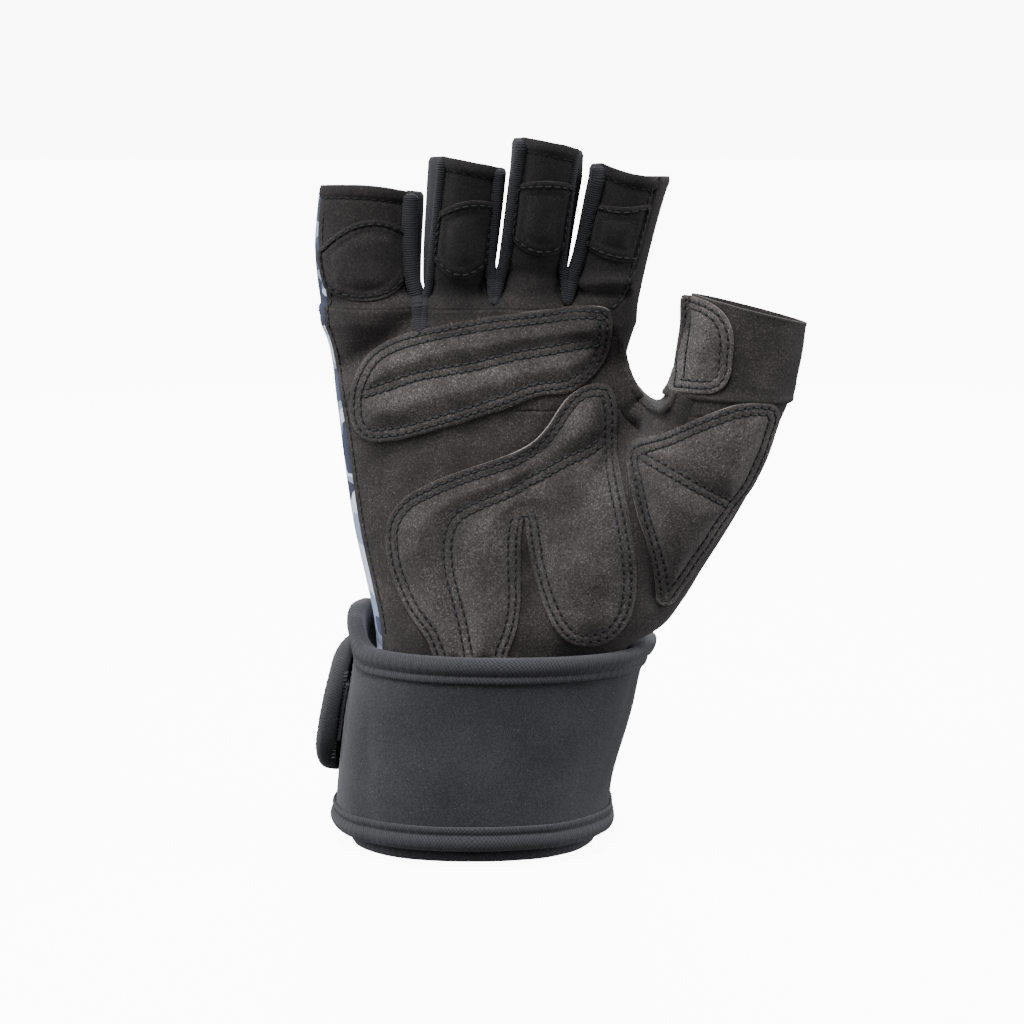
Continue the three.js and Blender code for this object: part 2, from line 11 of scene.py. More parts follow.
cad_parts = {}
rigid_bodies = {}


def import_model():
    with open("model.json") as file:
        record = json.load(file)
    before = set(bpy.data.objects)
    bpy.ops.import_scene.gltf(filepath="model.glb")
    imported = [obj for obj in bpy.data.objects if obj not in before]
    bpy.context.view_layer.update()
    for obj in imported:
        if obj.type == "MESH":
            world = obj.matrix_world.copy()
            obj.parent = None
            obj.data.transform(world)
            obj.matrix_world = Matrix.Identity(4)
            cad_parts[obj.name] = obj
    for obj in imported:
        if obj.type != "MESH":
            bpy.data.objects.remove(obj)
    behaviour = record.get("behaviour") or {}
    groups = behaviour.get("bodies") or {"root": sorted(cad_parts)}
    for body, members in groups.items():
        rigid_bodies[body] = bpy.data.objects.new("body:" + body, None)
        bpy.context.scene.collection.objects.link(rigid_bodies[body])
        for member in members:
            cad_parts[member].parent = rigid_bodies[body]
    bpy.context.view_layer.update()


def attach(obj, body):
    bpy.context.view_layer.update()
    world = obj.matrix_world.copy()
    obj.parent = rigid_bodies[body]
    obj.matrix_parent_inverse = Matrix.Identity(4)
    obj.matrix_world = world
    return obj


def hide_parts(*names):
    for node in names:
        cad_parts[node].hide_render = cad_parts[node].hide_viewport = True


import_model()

bl_info = {
    "name": "Weightlifting Glove",
    "version": (1, 0, 0),
    "blender": (4, 5, 0),
    "location": "View3D > Sidebar > Glove",
    "description": "Builds a half-finger training glove with a wrist wrap",
    "category": "Add Mesh",
}

MM = 0.001
PALM_WAY = np.array([0.0, -1.0, 0.0])    # the palm faces this way
FINGERS = ("little", "ring", "middle", "index")

# hand form; up: share of height, left/right: share of breadth, front/back: share of depth
BODY = (
    # up, left, right, front, back
    (-0.04, -0.365, 0.352, -0.53, 0.53),
    (0.10, -0.360, 0.366, -0.52, 0.51),
    (0.20, -0.330, 0.415, -0.50, 0.49),
    (0.30, -0.295, 0.462, -0.51, 0.46),
    (0.35, -0.302, 0.520, -0.53, 0.42),
    (0.40, -0.322, 0.525, -0.51, 0.40),
    (0.475, -0.355, 0.525, -0.46, 0.38),
    (0.55, -0.378, 0.515, -0.42, 0.37),
    (0.67, -0.406, 0.505, -0.41, 0.355),
    (0.695, -0.412, 0.476, -0.41, 0.35),
    (0.73, -0.419, 0.450, -0.41, 0.345),
    (0.77, -0.428, 0.458, -0.405, 0.33),
    (0.80, -0.436, 0.460, -0.395, 0.30),
    (0.82, -0.420, 0.440, -0.37, 0.25),
    (0.835, -0.260, 0.410, -0.31, 0.18),
    (0.8475, -0.130, 0.350, -0.20, 0.08),
)
THUMB = (
    # up, left, right, front, back, slant (share of height)
    (0.24, -0.10, 0.420, -0.44, 0.16, 0.0),
    (0.30, 0.00, 0.435, -0.45, 0.16, 0.0),
    (0.34, 0.06, 0.560, -0.53, 0.14, 0.0),
    (0.38, 0.11, 0.620, -0.56, 0.12, 0.0),
    (0.43, 0.185, 0.678, -0.58, 0.10, 0.0),
    (0.485, 0.275, 0.743, -0.60, 0.06, 0.0),
    (0.55, 0.380, 0.812, -0.62, 0.00, 0.0),
    (0.60, 0.455, 0.861, -0.63, -0.06, 0.0),
    (0.65, 0.515, 0.889, -0.64, -0.13, 0.003),
    (0.69, 0.553, 0.919, -0.65, -0.18, 0.006),
    (0.73, 0.585, 0.933, -0.66, -0.22, 0.011),
    (0.775, 0.610, 0.946, -0.68, -0.26, 0.017),
    (0.82, 0.633, 0.954, -0.69, -0.27, 0.021),
)
# up (share of height), centre and half width (share of breadth), middle and half depth (share of depth)
FINGER_ROWS = {
    "little": (
        (0.790, -0.295, 0.146, -0.12, 0.24),
        (0.905, -0.311, 0.150, -0.15, 0.23),
        (0.985, -0.300, 0.146, -0.17, 0.22),
    ),
    "ring": (
        (0.790, -0.052, 0.098, -0.12, 0.24),
        (0.850, -0.043, 0.098, -0.17, 0.24),
        (0.930, -0.025, 0.100, -0.28, 0.23),
        (1.020, -0.005, 0.103, -0.40, 0.22),
    ),
    "middle": (
        (0.790, 0.160, 0.096, -0.12, 0.24),
        (0.850, 0.171, 0.098, -0.17, 0.24),
        (0.940, 0.195, 0.101, -0.31, 0.23),
        (1.048, 0.223, 0.104, -0.47, 0.22),
    ),
    "index": (
        (0.790, 0.366, 0.104, -0.12, 0.24),
        (0.850, 0.386, 0.106, -0.16, 0.24),
        (0.930, 0.418, 0.108, -0.25, 0.23),
        (1.005, 0.453, 0.111, -0.35, 0.22),
    ),
}
# rim of each finger: up at its two corners and in its middle (share of height)
RIMS = {
    "little": (0.990, 0.982, 0.991),
    "ring": (1.034, 1.018, 1.027),
    "middle": (1.061, 1.044, 1.054),
    "index": (1.024, 1.003, 1.010),
}
# foot across, foot up, tip across of the line between two fingers
GAPS = ((-0.150, 0.79, -0.130), (0.056, 0.79, 0.110), (0.262, 0.79, 0.340))
# from (across, up) to (across, up), width and height in mm; minus is a valley
FOLDS = (
    (-0.42, 0.710, -0.16, 0.808, 3.6, -2.4),
    (-0.36, 0.80, -0.20, 0.825, 4.0, 1.0),
    (0.40, 0.748, 0.20, 0.61, 4.0, -1.8),
    (0.46, 0.66, 0.48, 0.58, 3.0, -1.6),
    (0.49, 0.60, 0.53, 0.40, 3.6, -2.2),
    (0.15, 0.60, 0.15, 0.44, 3.0, -1.2),
    (0.17, 0.44, 0.15, 0.30, 6.0, -2.0),
    (-0.25, 0.60, 0.15, 0.66, 4.0, -1.0),
    (0.29, 0.853, 0.47, 0.856, 2.0, 1.3),
    (0.29, 0.838, 0.48, 0.838, 1.6, -1.6),
    (-0.42, 0.828, -0.19, 0.842, 3.0, -1.2),
    (-0.12, 0.848, 0.03, 0.846, 2.6, -1.0),
    (0.07, 0.868, 0.23, 0.868, 2.6, -1.0),
)

# outlines seen from the palm side: across (share of breadth), up (share of height)
UPPER_PAD = (
    (-0.358, 0.683), (-0.345, 0.710), (-0.300, 0.748), (-0.233, 0.771), (-0.090, 0.793),
    (0.060, 0.806), (0.235, 0.8165), (0.375, 0.8195), (0.397, 0.812), (0.397, 0.765),
    (0.370, 0.730), (0.317, 0.705), (0.270, 0.695), (0.186, 0.6905), (0.090, 0.673),
    (-0.100, 0.6425), (-0.236, 0.6235), (-0.310, 0.6225), (-0.350, 0.643),
)
HEEL_PAD = (
    (0.395, 0.700), (0.415, 0.673), (0.418, 0.622), (0.432, 0.570), (0.450, 0.527),
    (0.466, 0.475), (0.473, 0.423), (0.462, 0.380), (0.436, 0.354), (0.400, 0.336),
    (0.343, 0.328), (0.284, 0.3335), (0.240, 0.356), (0.205, 0.393), (0.177, 0.438),
    (0.160, 0.480), (0.149, 0.512), (0.138, 0.480), (0.136, 0.438), (0.138, 0.393),
    (0.125, 0.350), (0.100, 0.315), (0.090, 0.291), (0.000, 0.289), (-0.090, 0.291),
    (-0.141, 0.340), (-0.187, 0.371), (-0.222, 0.405), (-0.250, 0.450), (-0.252, 0.500),
    (-0.205, 0.5385), (-0.126, 0.562), (-0.050, 0.578), (0.126, 0.610), (0.178, 0.625),
    (0.218, 0.6465), (0.252, 0.673), (0.285, 0.692), (0.330, 0.703),
)
THUMB_PAD = (
    (0.447, 0.598), (0.460, 0.614), (0.484, 0.6255), (0.554, 0.642), (0.625, 0.6605),
    (0.696, 0.6765), (0.757, 0.6870), (0.821, 0.6895), (0.865, 0.683), (0.880, 0.665),
    (0.870, 0.6395), (0.848, 0.603), (0.811, 0.562), (0.758, 0.524), (0.702, 0.480),
    (0.655, 0.4435), (0.608, 0.407), (0.578, 0.387), (0.540, 0.387), (0.534, 0.407),
    (0.523, 0.444), (0.498, 0.490), (0.481, 0.514), (0.462, 0.5505), (0.449, 0.584),
)
THUMB_TAB = (
    (0.600, 0.8380), (0.621, 0.8385), (0.646, 0.837), (0.679, 0.831), (0.707, 0.821),
    (0.729, 0.8055), (0.741, 0.781), (0.739, 0.754), (0.735, 0.731), (0.719, 0.714),
    (0.694, 0.7045), (0.658, 0.7015), (0.610, 0.7015), (0.575, 0.7015), (0.577, 0.727),
    (0.583, 0.754), (0.594, 0.7965),
)
# finger patches: upper edge at its left, middle and right, then the lower edge (shares of height)
PATCHES = {
    "little": (0.897, 0.942, 0.930, 0.845, 0.827, 0.861),
    "ring": (0.957, 0.973, 0.970, 0.888, 0.862, 0.878),
    "middle": (0.997, 1.002, 0.996, 0.920, 0.896, 0.904),
    "index": (0.968, 0.964, 0.968, 0.906, 0.889, 0.885),
}
# sewn channels inside the pads: across, up
UPPER_CHANNEL = (
    (-0.345, 0.686), (-0.253, 0.703), (-0.159, 0.7195), (-0.065, 0.7285), (0.029, 0.7375),
    (0.123, 0.749), (0.217, 0.7565), (0.310, 0.7645), (0.388, 0.771),
)
HEEL_CHANNEL = (
    (0.372, 0.622), (0.340, 0.610), (0.276, 0.5955), (0.201, 0.575), (0.102, 0.549),
    (0.023, 0.532), (-0.046, 0.512), (-0.070, 0.4855), (-0.070, 0.441), (-0.052, 0.403),
    (-0.029, 0.359), (-0.012, 0.310),
)
THUMB_CHANNEL = ((0.478, 0.610), (0.560, 0.590), (0.650, 0.565), (0.752, 0.5355))
# seam between the index finger's front and the side strip, then down to the crotch
GUSSET_SEAM = (
    # across, up
    (0.532, 1.003), (0.508, 0.963), (0.482, 0.912), (0.464, 0.858), (0.438, 0.828),
    (0.404, 0.810), (0.407, 0.770), (0.410, 0.733), (0.434, 0.694), (0.480, 0.672),
    (0.535, 0.666),
)
# edge of the web, from the index finger down and up again to the thumb: across, up
CROTCH_LINE = (
    (0.444, 0.775), (0.445, 0.757), (0.455, 0.733), (0.470, 0.711), (0.490, 0.692),
    (0.514, 0.680), (0.538, 0.678), (0.557, 0.687), (0.573, 0.704),
)
# how far the little-finger side seam lies inside the outline: up (share of height), mm
SEAM_INSET = ((0.2, 1.9), (0.4, 2.2), (0.6, 2.1), (0.8, 1.6), (0.84, 2.4), (0.90, 1.3), (1.0, 0.7))
# how widely the thumb runs into the palm, by height, and a finger into the palm, in mm
THUMB_BLEND = ((58, 80, 112, 126, 137), (1.5, 9, 15, 10, 3))
FINGER_BLEND = 5.0
# power of a section's rounded outline; 2 is an ellipse
BODY_POWER, LIMB_POWER = 2.3, 2
# where lines start and stop when they look for the palm, the back and the index finger's side, in mm
PALM_REACH = (-52, 16)
BACK_REACH = (34, -34)
SIDE_REACH = (72, 20)
# grid of x and of y on which the form's sides are looked for: from, to, step in mm
GRID_ACROSS = (-60.0, 110.0, 1.0)
GRID_DEEP = (-44.0, 30.0, 2.0)
SAMPLES = 40    # places looked at along such a line
HALVINGS = 9    # steps that then narrow the crossing down


# small tools
def linear(hex_colour):
    """A colour written as sRGB hex, in scene-linear values."""
    values = [int(hex_colour[i:i + 2], 16) / 255 for i in (1, 3, 5)]
    return tuple(v / 12.92 if v <= 0.04045 else ((v + 0.055) / 1.055) ** 2.4 for v in values)


def ease(t):
    """0 to 1 without a corner at either end: three squares less two cubes."""
    s = np.clip(t, 0.0, 1.0)
    return s * s * (3 - 2 * s)


def parabola(left, middle, right, u):
    """Value at u, 0 to 1, of the parabola through its left, its middle and its right."""
    return left + (right - left) * u + (middle - (left + right) / 2) * 4 * u * (1 - u)


def follow(rows, at):
    """Smooth values of a table's columns at the places asked for, held beyond its ends.

    Between two rows it is the cubic that has the rows' values and the slopes found from their neighbours.
    """
    table = np.array(rows, float)
    knots = table[:, 0]
    values = table[:, 1:]
    at = np.asarray(at, float)
    slopes = np.gradient(values, knots, axis=0)
    k = np.clip(np.searchsorted(knots, at, side="right") - 1, 0, len(knots) - 2)
    step = knots[k + 1] - knots[k]
    t = np.clip((at - knots[k]) / step, 0, 1)[..., None]
    step = step[..., None]
    return (
        (2 * t**3 - 3 * t**2 + 1) * values[k] + (t**3 - 2 * t**2 + t) * step * slopes[k]
        + (3 * t**2 - 2 * t**3) * values[k + 1] + (t**3 - t**2) * step * slopes[k + 1]
    )


def unit(vectors):
    """Vectors brought to length one."""
    return vectors / np.maximum(np.linalg.norm(vectors, axis=-1, keepdims=True), 1e-9)


def run_along(points):
    """Length run from the first point of a line to each of its points."""
    return np.r_[0, np.cumsum(np.linalg.norm(np.diff(points, axis=0), axis=1))]


def points_at(stops, run, points):
    """Values of a line's points at places along its run."""
    return np.column_stack([np.interp(stops, run, points[:, c]) for c in range(points.shape[1])])


def left_of(line, closed=False):
    """Unit vectors on a plane line's left side: its direction turned by a quarter."""
    ahead = np.roll(line, -1, axis=0) - np.roll(line, 1, axis=0) if closed else np.gradient(line, axis=0)
    ahead = unit(ahead)
    return np.column_stack([-ahead[:, 1], ahead[:, 0]])


def inwards_of(outline):
    """Unit vectors from a closed outline towards its inside, told by the sign of its area."""
    x, z = outline.T
    area = np.sum(x * np.roll(z, -1) - np.roll(x, -1) * z)
    return left_of(outline, closed=True) * (1 if area > 0 else -1)


def ripple(x, z, scale, seed):
    """Gentle uneven height from a few crossed waves, about -1 to 1."""
    rng = np.random.default_rng(seed)
    total = np.zeros(np.broadcast(x, z).shape)
    for _ in range(7):
        angle, phase = rng.uniform(0, 2 * math.pi, 2)
        wave = rng.uniform(0.7, 1.5) / scale
        total += np.sin((x * math.cos(angle) + z * math.sin(angle)) * wave * 2 * math.pi + phase)
    return total / 4


def smooth_loop(points, count, closed=True):
    """Evenly spaced points on a smooth line through the rows.

    The line is followed by the summed roots of its chords. A closed one is lengthened by two rows at its
    start and three at its end, so that it joins without a corner.
    """
    p = np.array(points, float)
    if closed:
        p = np.vstack([p[-2:], p, p[:3]])
    chord = np.r_[0, np.cumsum(np.sqrt(np.linalg.norm(np.diff(p, axis=0), axis=1)))]
    fine_at = np.linspace(chord[2], chord[-3], 1600) if closed else np.linspace(0, chord[-1], 800)
    fine = follow(np.column_stack([chord, p]), fine_at)
    run = run_along(fine)
    stops = np.linspace(0, run[-1], count, endpoint=not closed)
    return points_at(stops, run, fine)


def distance_to(line, x, z, closed=True):
    """Distance from points to a line of short straight bits: the least of those to each bit."""
    a = line
    b = np.roll(line, -1, axis=0) if closed else line[1:]
    a = a if closed else line[:-1]
    best = np.full(x.shape, 1e9)
    for (ax, az), (bx, bz) in zip(a, b):
        dx, dz = bx - ax, bz - az
        t = np.clip(((x - ax) * dx + (z - az) * dz) / max(dx * dx + dz * dz, 1e-9), 0, 1)
        best = np.minimum(best, np.hypot(x - ax - t * dx, z - az - t * dz))
    return best


def inside_of(line, x, z):
    """True where points lie inside a closed line, by an odd number of crossings of a level ray."""
    within = np.zeros(x.shape, bool)
    bx, bz = np.roll(line[:, 0], -1), np.roll(line[:, 1], -1)
    for ax, az, cx, cz in zip(line[:, 0], line[:, 1], bx, bz):
        crosses = (az > z) != (cz > z)
        with np.errstate(divide="ignore", invalid="ignore"):
            at = ax + (z - az) * (cx - ax) / (cz - az)
        within ^= crosses & (x < at)
    return within


def blend(p, q, width):
    """Smooth union of two distances: the lesser, less a parabola where they differ by under a width."""
    h = np.maximum(width - np.abs(p - q), 0) / width
    return np.minimum(p, q) - h * h * width / 4


def from_outline(x, y, xc, yc, half, deep, power):
    """Rough distance of (x, y) from a section's rounded outline: its share beyond 1 over its steepness."""
    u = np.abs(x - xc) / half + 1e-6
    v = np.abs(y - yc) / deep + 1e-6
    if power == 2:
        k = np.sqrt(u * u + v * v)
        steep = np.hypot(u / half, v / deep) / k
    else:
        k = (u**power + v**power) ** (1 / power)
        steep = k ** (1 - power) * np.hypot(u ** (power - 1) / half, v ** (power - 1) / deep)
    return (k - 1) / np.maximum(steep, 1e-4)


class Form:
    """The hand-shaped form that the glove is worn on, in millimetres."""

    def __init__(self, sizes):
        self.h = sizes.height / MM
        self.b = sizes.breadth / MM
        self.d = sizes.depth / MM
        self.wall = sizes.wall / MM
        self.pitch = sizes.pitch / MM
        self.thread = sizes.thread / MM
        self.body = self.scaled(BODY, "hbbdd")
        self.thumb = self.scaled(THUMB, "hbbddh")
        self.fingers = {n: self.scaled(r, "hbbdd") for n, r in FINGER_ROWS.items()}
        self.all = ("body", "thumb") + FINGERS

    def scaled(self, rows, letters):
        """A table's shares turned to millimetres, each column by its own unit."""
        factors = [getattr(self, c) for c in letters]
        return np.array(rows, float) * factors

    def flat(self, rows):
        """An outline's shares turned to millimetres."""
        return np.array(rows, float) * (self.b, self.h)

    def section(self, part, z):
        """Centre x, middle y, half width, half depth and a push outwards beyond the rows' ends."""
        if part in ("body", "thumb"):
            rows = self.body if part == "body" else self.thumb
            v = follow(rows, z)
            left, right, front, back = v[..., 0], v[..., 1], v[..., 2], v[..., 3]
            out = (left + right) / 2, (front + back) / 2, (right - left) / 2, (back - front) / 2
        else:
            rows = self.fingers[part]
            v = follow(rows, z)
            out = v[..., 0], v[..., 2], v[..., 1], v[..., 3]
        if part == "body":
            push = np.maximum(z - rows[-1, 0], 0) * 3
        else:
            push = np.maximum(rows[0, 0] - z, 0) * 0.6
        return out + (push,)

    def sections(self, z, parts):
        """Sections of several parts at the same heights."""
        return {part: self.section(part, z) for part in parts}

    def field(self, sections, x, y, z):
        """Distance from the smooth union of the parts, minus inside."""
        total = None
        for part, (xc, yc, half, deep, push) in sections.items():
            power = BODY_POWER if part == "body" else LIMB_POWER
            s = from_outline(x, y, xc, yc, half, deep, power) + push
            if total is None:
                total = s
            elif part == "thumb":
                total = blend(total, s, np.interp(z, *THUMB_BLEND))
            else:
                total = blend(total, s, FINGER_BLEND)
        return total

    def meet(self, across, z, start, stop, along="y", parts=None):
        """Where lines along y or x first meet the form; a line that misses gives its nearest pass.

        The first place inside is found among even samples, then the interval before it is halved.
        """
        across, z = np.broadcast_arrays(np.asarray(across, float), np.asarray(z, float))
        shape = across.shape
        across, z = across.ravel(), z.ravel()
        sections = self.sections(z, parts or self.all)

        def value(t):
            """Distance from the form at t along each line."""
            x, y = (across, t) if along == "y" else (t, across)
            return self.field(sections, x, y, z)

        ts = np.linspace(start, stop, SAMPLES)
        found = np.zeros(z.shape, bool)
        low, high = np.full(z.shape, ts[0]), np.full(z.shape, ts[0])
        least, pass_at = np.full(z.shape, 1e9), np.full(z.shape, ts[0])
        for k, t in enumerate(ts):
            v = value(np.full(z.shape, t))
            nearer = ~found & (v < least)
            least[nearer], pass_at[nearer] = v[nearer], t
            hit = ~found & (v <= 0)
            low[hit], high[hit] = ts[max(k - 1, 0)], t
            found |= hit
        gap = ts[1] - ts[0]
        near_low, near_high = pass_at - gap, pass_at + gap
        for _ in range(HALVINGS):
            mid = (low + high) / 2
            inside = value(mid) <= 0
            high = np.where(inside, mid, high)
            low = np.where(inside, low, mid)
        for _ in range(HALVINGS):
            a = near_low + (near_high - near_low) * 0.4
            b = near_low + (near_high - near_low) * 0.6
            to_left = value(a) < value(b)
            near_high = np.where(to_left, b, near_high)
            near_low = np.where(to_left, near_low, a)
        return np.where(found, (low + high) / 2, (near_low + near_high) / 2).reshape(shape)

    def extent(self, z, parts=None):
        """Leftmost and rightmost x of the form at each height, found on a grid and between its lines."""
        z = np.asarray(z, float)
        xs = np.arange(*GRID_ACROSS)
        ys = np.arange(*GRID_DEEP)
        grid_z, grid_x, grid_y = np.meshgrid(z, xs, ys, indexing="ij")
        sections = self.sections(grid_z, parts or self.all)
        least = self.field(sections, grid_x, grid_y, grid_z).min(axis=2)
        left, right = np.zeros(len(z)), np.zeros(len(z))
        for i, row in enumerate(least):
            inside = np.flatnonzero(row <= 0)
            a, b = inside[0], inside[-1]
            left[i] = xs[a] - row[a] / (row[a] - row[a - 1])
            right[i] = xs[b] + row[b] / (row[b] - row[b + 1])
        return left, right

    def fold(self, x, z):
        """Height of the creases, round in section, and of the cloth's slight waviness on the palm side."""
        total = ripple(x, z, 26.0, 4) * 0.28 + ripple(x, z, 9.0, 5) * 0.07
        for x0, z0, x1, z1, width, high in FOLDS:
            ax, az = x0 * self.b, z0 * self.h
            dx, dz = x1 * self.b - ax, z1 * self.h - az
            t = np.clip(((x - ax) * dx + (z - az) * dz) / (dx * dx + dz * dz), 0, 1)
            away = np.hypot(x - ax - t * dx, z - az - t * dz) / width
            total = total + high * np.exp(-away * away)
        return total

    def front(self, x, z, parts=None):
        """y of the palm side."""
        return self.meet(x, z, *PALM_REACH, parts=parts) - self.fold(x, z)

    def rear(self, x, z, parts=None):
        """y of the back of the hand."""
        return self.meet(x, z, *BACK_REACH, parts=parts)

    def on_front(self, x, z, lift=0.0, parts=None):
        """Points on the palm side raised along the surface's normal, and the normals.

        The normal comes from the surface's rise across and up over a short step.
        """
        x, z = np.broadcast_arrays(np.asarray(x, float), np.asarray(z, float))
        step = 0.35
        y = self.front(x, z, parts)
        dx = (self.front(x + step, z, parts) - self.front(x - step, z, parts)) / (2 * step)
        dz = (self.front(x, z + step, parts) - self.front(x, z - step, parts)) / (2 * step)
        dx, dz = np.clip(dx, -4, 4), np.clip(dz, -4, 4)
        normal = unit(np.stack([dx, -np.ones_like(dx), dz], -1))
        return np.stack([x, y, z], -1) + normal * np.asarray(lift)[..., None], normal


# meshes
class Shape:
    """Collects grids and loose faces into one mesh; lengths in millimetres."""

    def __init__(self):
        self.points, self.faces, self.slots, self.uvs, self.count = [], [], [], [], 0

    def add(self, points, faces, slot=0, uv=None):
        """Points and faces of one kind, counted on from those that are there."""
        points = np.asarray(points, float).reshape(-1, 3)
        faces = np.asarray(faces, int)
        self.points.append(points)
        self.faces.extend((faces + self.count).tolist())
        self.slots.extend([slot] * len(faces))
        self.uvs.append(np.zeros((len(points), 2)) if uv is None else np.asarray(uv, float).reshape(-1, 2))
        self.count += len(points)

    def grid(self, points, closed_u=False, closed_v=False, slot=0, uv=None, flip=False):
        """Quads over a grid [u, v, 3]."""
        nu, nv = points.shape[:2]
        i = np.arange(nu if closed_u else nu - 1)[:, None]
        j = np.arange(nv if closed_v else nv - 1)[None, :]
        a = i * nv + j
        b = ((i + 1) % nu) * nv + j
        c = ((i + 1) % nu) * nv + (j + 1) % nv
        d = i * nv + (j + 1) % nv
        faces = np.stack([a, b, c, d], -1).reshape(-1, 4)
        self.add(points, faces[:, ::-1] if flip else faces, slot, uv)

    def shell(self, points, thick, outward, uv=None, inside=0, soft_at=(1, 1, 1, 1)):
        """A grid given thickness inwards, along its normals, and closed round its border.

        inside is the inner face's slot.
        soft_at says which borders are softened: first row, last row, first column, last column.
        """
        normal = grid_normals(points)
        if np.sum(normal * outward) < 0:
            normal = -normal
        soft = 0.3 * thick
        border = np.zeros(points.shape[:2] + (1,))
        for place, wanted in zip((np.s_[0], np.s_[-1], np.s_[:, 0], np.s_[:, -1]), soft_at):
            if wanted:
                border[place] = soft
        outer = points - normal * border
        inner = points - normal * (thick - border)
        self.grid(outer, uv=uv)
        self.grid(inner, slot=inside, uv=uv, flip=True)
        middle = points - normal * thick / 2
        for pick in (np.s_[0, :], np.s_[-1, :], np.s_[:, 0], np.s_[:, -1]):
            out = unit(middle[pick] - middle[next_inside(pick)])
            edge = np.stack([outer[pick], middle[pick] + out * soft, inner[pick]], 1)
            self.grid(edge)

    def finish(self, name, materials):
        """The named object at the origin, in metres."""
        points = np.concatenate(self.points) * MM
        mesh = bpy.data.meshes.new(name)
        mesh.from_pydata(points.tolist(), [], self.faces)
        mesh.update()
        layer = mesh.uv_layers.new(name="run")
        uvs = np.concatenate(self.uvs) * MM
        corners = np.zeros(len(mesh.loops), int)
        mesh.loops.foreach_get("vertex_index", corners)
        layer.data.foreach_set("uv", uvs[corners].ravel())
        mesh.polygons.foreach_set("use_smooth", [True] * len(mesh.polygons))
        mesh.polygons.foreach_set("material_index", self.slots)
        welded = bmesh.new()
        welded.from_mesh(mesh)
        bmesh.ops.remove_doubles(welded, verts=welded.verts, dist=2e-7)
        bmesh.ops.recalc_face_normals(welded, faces=welded.faces)
        welded.to_mesh(mesh)
        welded.free()
        for material in materials:
            mesh.materials.append(material)
        piece = bpy.data.objects.new(name, mesh)
        bpy.context.scene.collection.objects.link(piece)
        return piece


def next_inside(pick):
    """The row or column next to a border row or column."""
    swap = {0: 1, -1: -2}
    return tuple(p if isinstance(p, slice) else swap[p] for p in pick)


def grid_normals(points):
    """Normals of a grid: the cross product of its two directions."""
    return unit(np.cross(np.gradient(points, axis=0), np.gradient(points, axis=1)))


def tucked(count, strength=1.0):
    """0 to 1 in steps that gather at both ends."""
    t = np.linspace(0, 1, count)
    return (1 - strength) * t + strength * (0.5 - 0.5 * np.cos(math.pi * t))


THREAD_LIFT = 0.12    # height of a stitch's middle above the cloth, in mm


def thread_run(shape, points, normals, pitch, radius, slot=0):
    """Short sewn stitches along a line of points, with a dark disc between each two where the needle went
    through: painted shadow of the hole.

    A stitch is a row of round rings that thin out and dip at both ends.
    """
    run = run_along(points)
    number = max(int(run[-1] / pitch), 1)
    middles = (np.arange(number) + 0.5) * run[-1] / number
    at = points_at(middles, run, points)
    up = points_at(middles, run, normals)
    along = unit(points_at(middles + 0.3, run, points) - points_at(middles - 0.3, run, points))
    side = unit(np.cross(along, up))
    length = pitch * 0.78
    corners = 6
    # along (share of length), thickness (share of radius), height (share of radius)
    bead = (
        (-0.5, 0.35, -1.2), (-0.42, 0.8, -0.35), (-0.2, 1.0, 0.15),
        (0.2, 1.0, 0.15), (0.42, 0.8, -0.35), (0.5, 0.35, -1.2),
    )
    turns = np.arange(corners) * math.pi / 3
    rings = []
    for t, fat, high in bead:
        ring = (
            at[:, None, :] + along[:, None, :] * (t * length)
            + up[:, None, :] * (THREAD_LIFT + radius * (high + fat * np.cos(turns)))[None, :, None]
            + side[:, None, :] * (radius * fat * np.sin(turns))[None, :, None]
        )
        rings.append(ring)
    block = np.stack(rings, 1)
    n, k, m = block.shape[:3]
    base = np.arange(n)[:, None, None] * k * m
    i = np.arange(k - 1)[None, :, None] * m
    j = np.arange(m)[None, None, :]
    j2 = (j + 1) % m
    faces = np.stack([base + i + j, base + i + j2, base + i + m + j2, base + i + m + j], -1)
    shape.add(block, faces.reshape(-1, 4), slot)
    # a flat dark disc where the needle went through: painted shadow of the hole, not a hole in the cloth
    hole = at + along * (pitch * 0.5) + up * (THREAD_LIFT * 0.6)
    rim = hole[:, None] + (
        along[:, None] * np.cos(turns)[None, :, None] + side[:, None] * np.sin(turns)[None, :, None]
    ) * radius * 1.7
    ground = np.arange(n)[:, None] * corners + np.arange(corners)[None]
    shape.add(rim, ground[:, [0, 1, 2, 3]], slot + 1)
    shape.faces.extend((ground[:, [0, 3, 4, 5]] + shape.count - n * corners).tolist())
    shape.slots.extend([slot + 1] * n)


# cloth of the hand
SEAM_Z = 163.0      # palm and finger fronts share this line
CROTCH_Z = 133.5    # palm's rows stop reaching across the thumb here
SLEEVE_Z = 137.6    # thumb sleeve's lower edge
STRIP_HALF = 7.0    # half width of the side strips
PANEL_FOOT = 44.0   # palm and back start here, under the wrap
GUSSET_FOOT = 139.0    # lower end of the strip beside the index finger
HEM_SEAM = 3.4      # from a finger's rim to the row of stitches that holds its hem
WEB_ACROSS = (46, 58)    # x of the back's cloth beside the crotch
WEB_FOOT = 127.0    # height whose place that cloth keeps
# each strip's web: height, depth of its turn, width of its roll on the left and on the right
WEBS = ((161.0, 10.0, 2.3, 1.3), (166.5, 6.2, 1.7, 1.7), (166.5, 6.2, 1.3, 2.1))


def seam_inset(form, z):
    """How far the little-finger side seam lies inside the outline."""
    return follow(SEAM_INSET, z / form.h)[..., 0]


def seam_across(form, z):
    """x of the seam beside the index finger at each height."""
    rows = form.flat(GUSSET_SEAM)[::-1]
    return np.interp(z, rows[:, 1], rows[:, 0])


def gap_across(form, k, z):
    """x of the straight line between two fingers at each height."""
    foot, up, tip = GAPS[k]
    return np.interp(z, (up * form.h, 1.12 * form.h), (foot * form.b, tip * form.b))


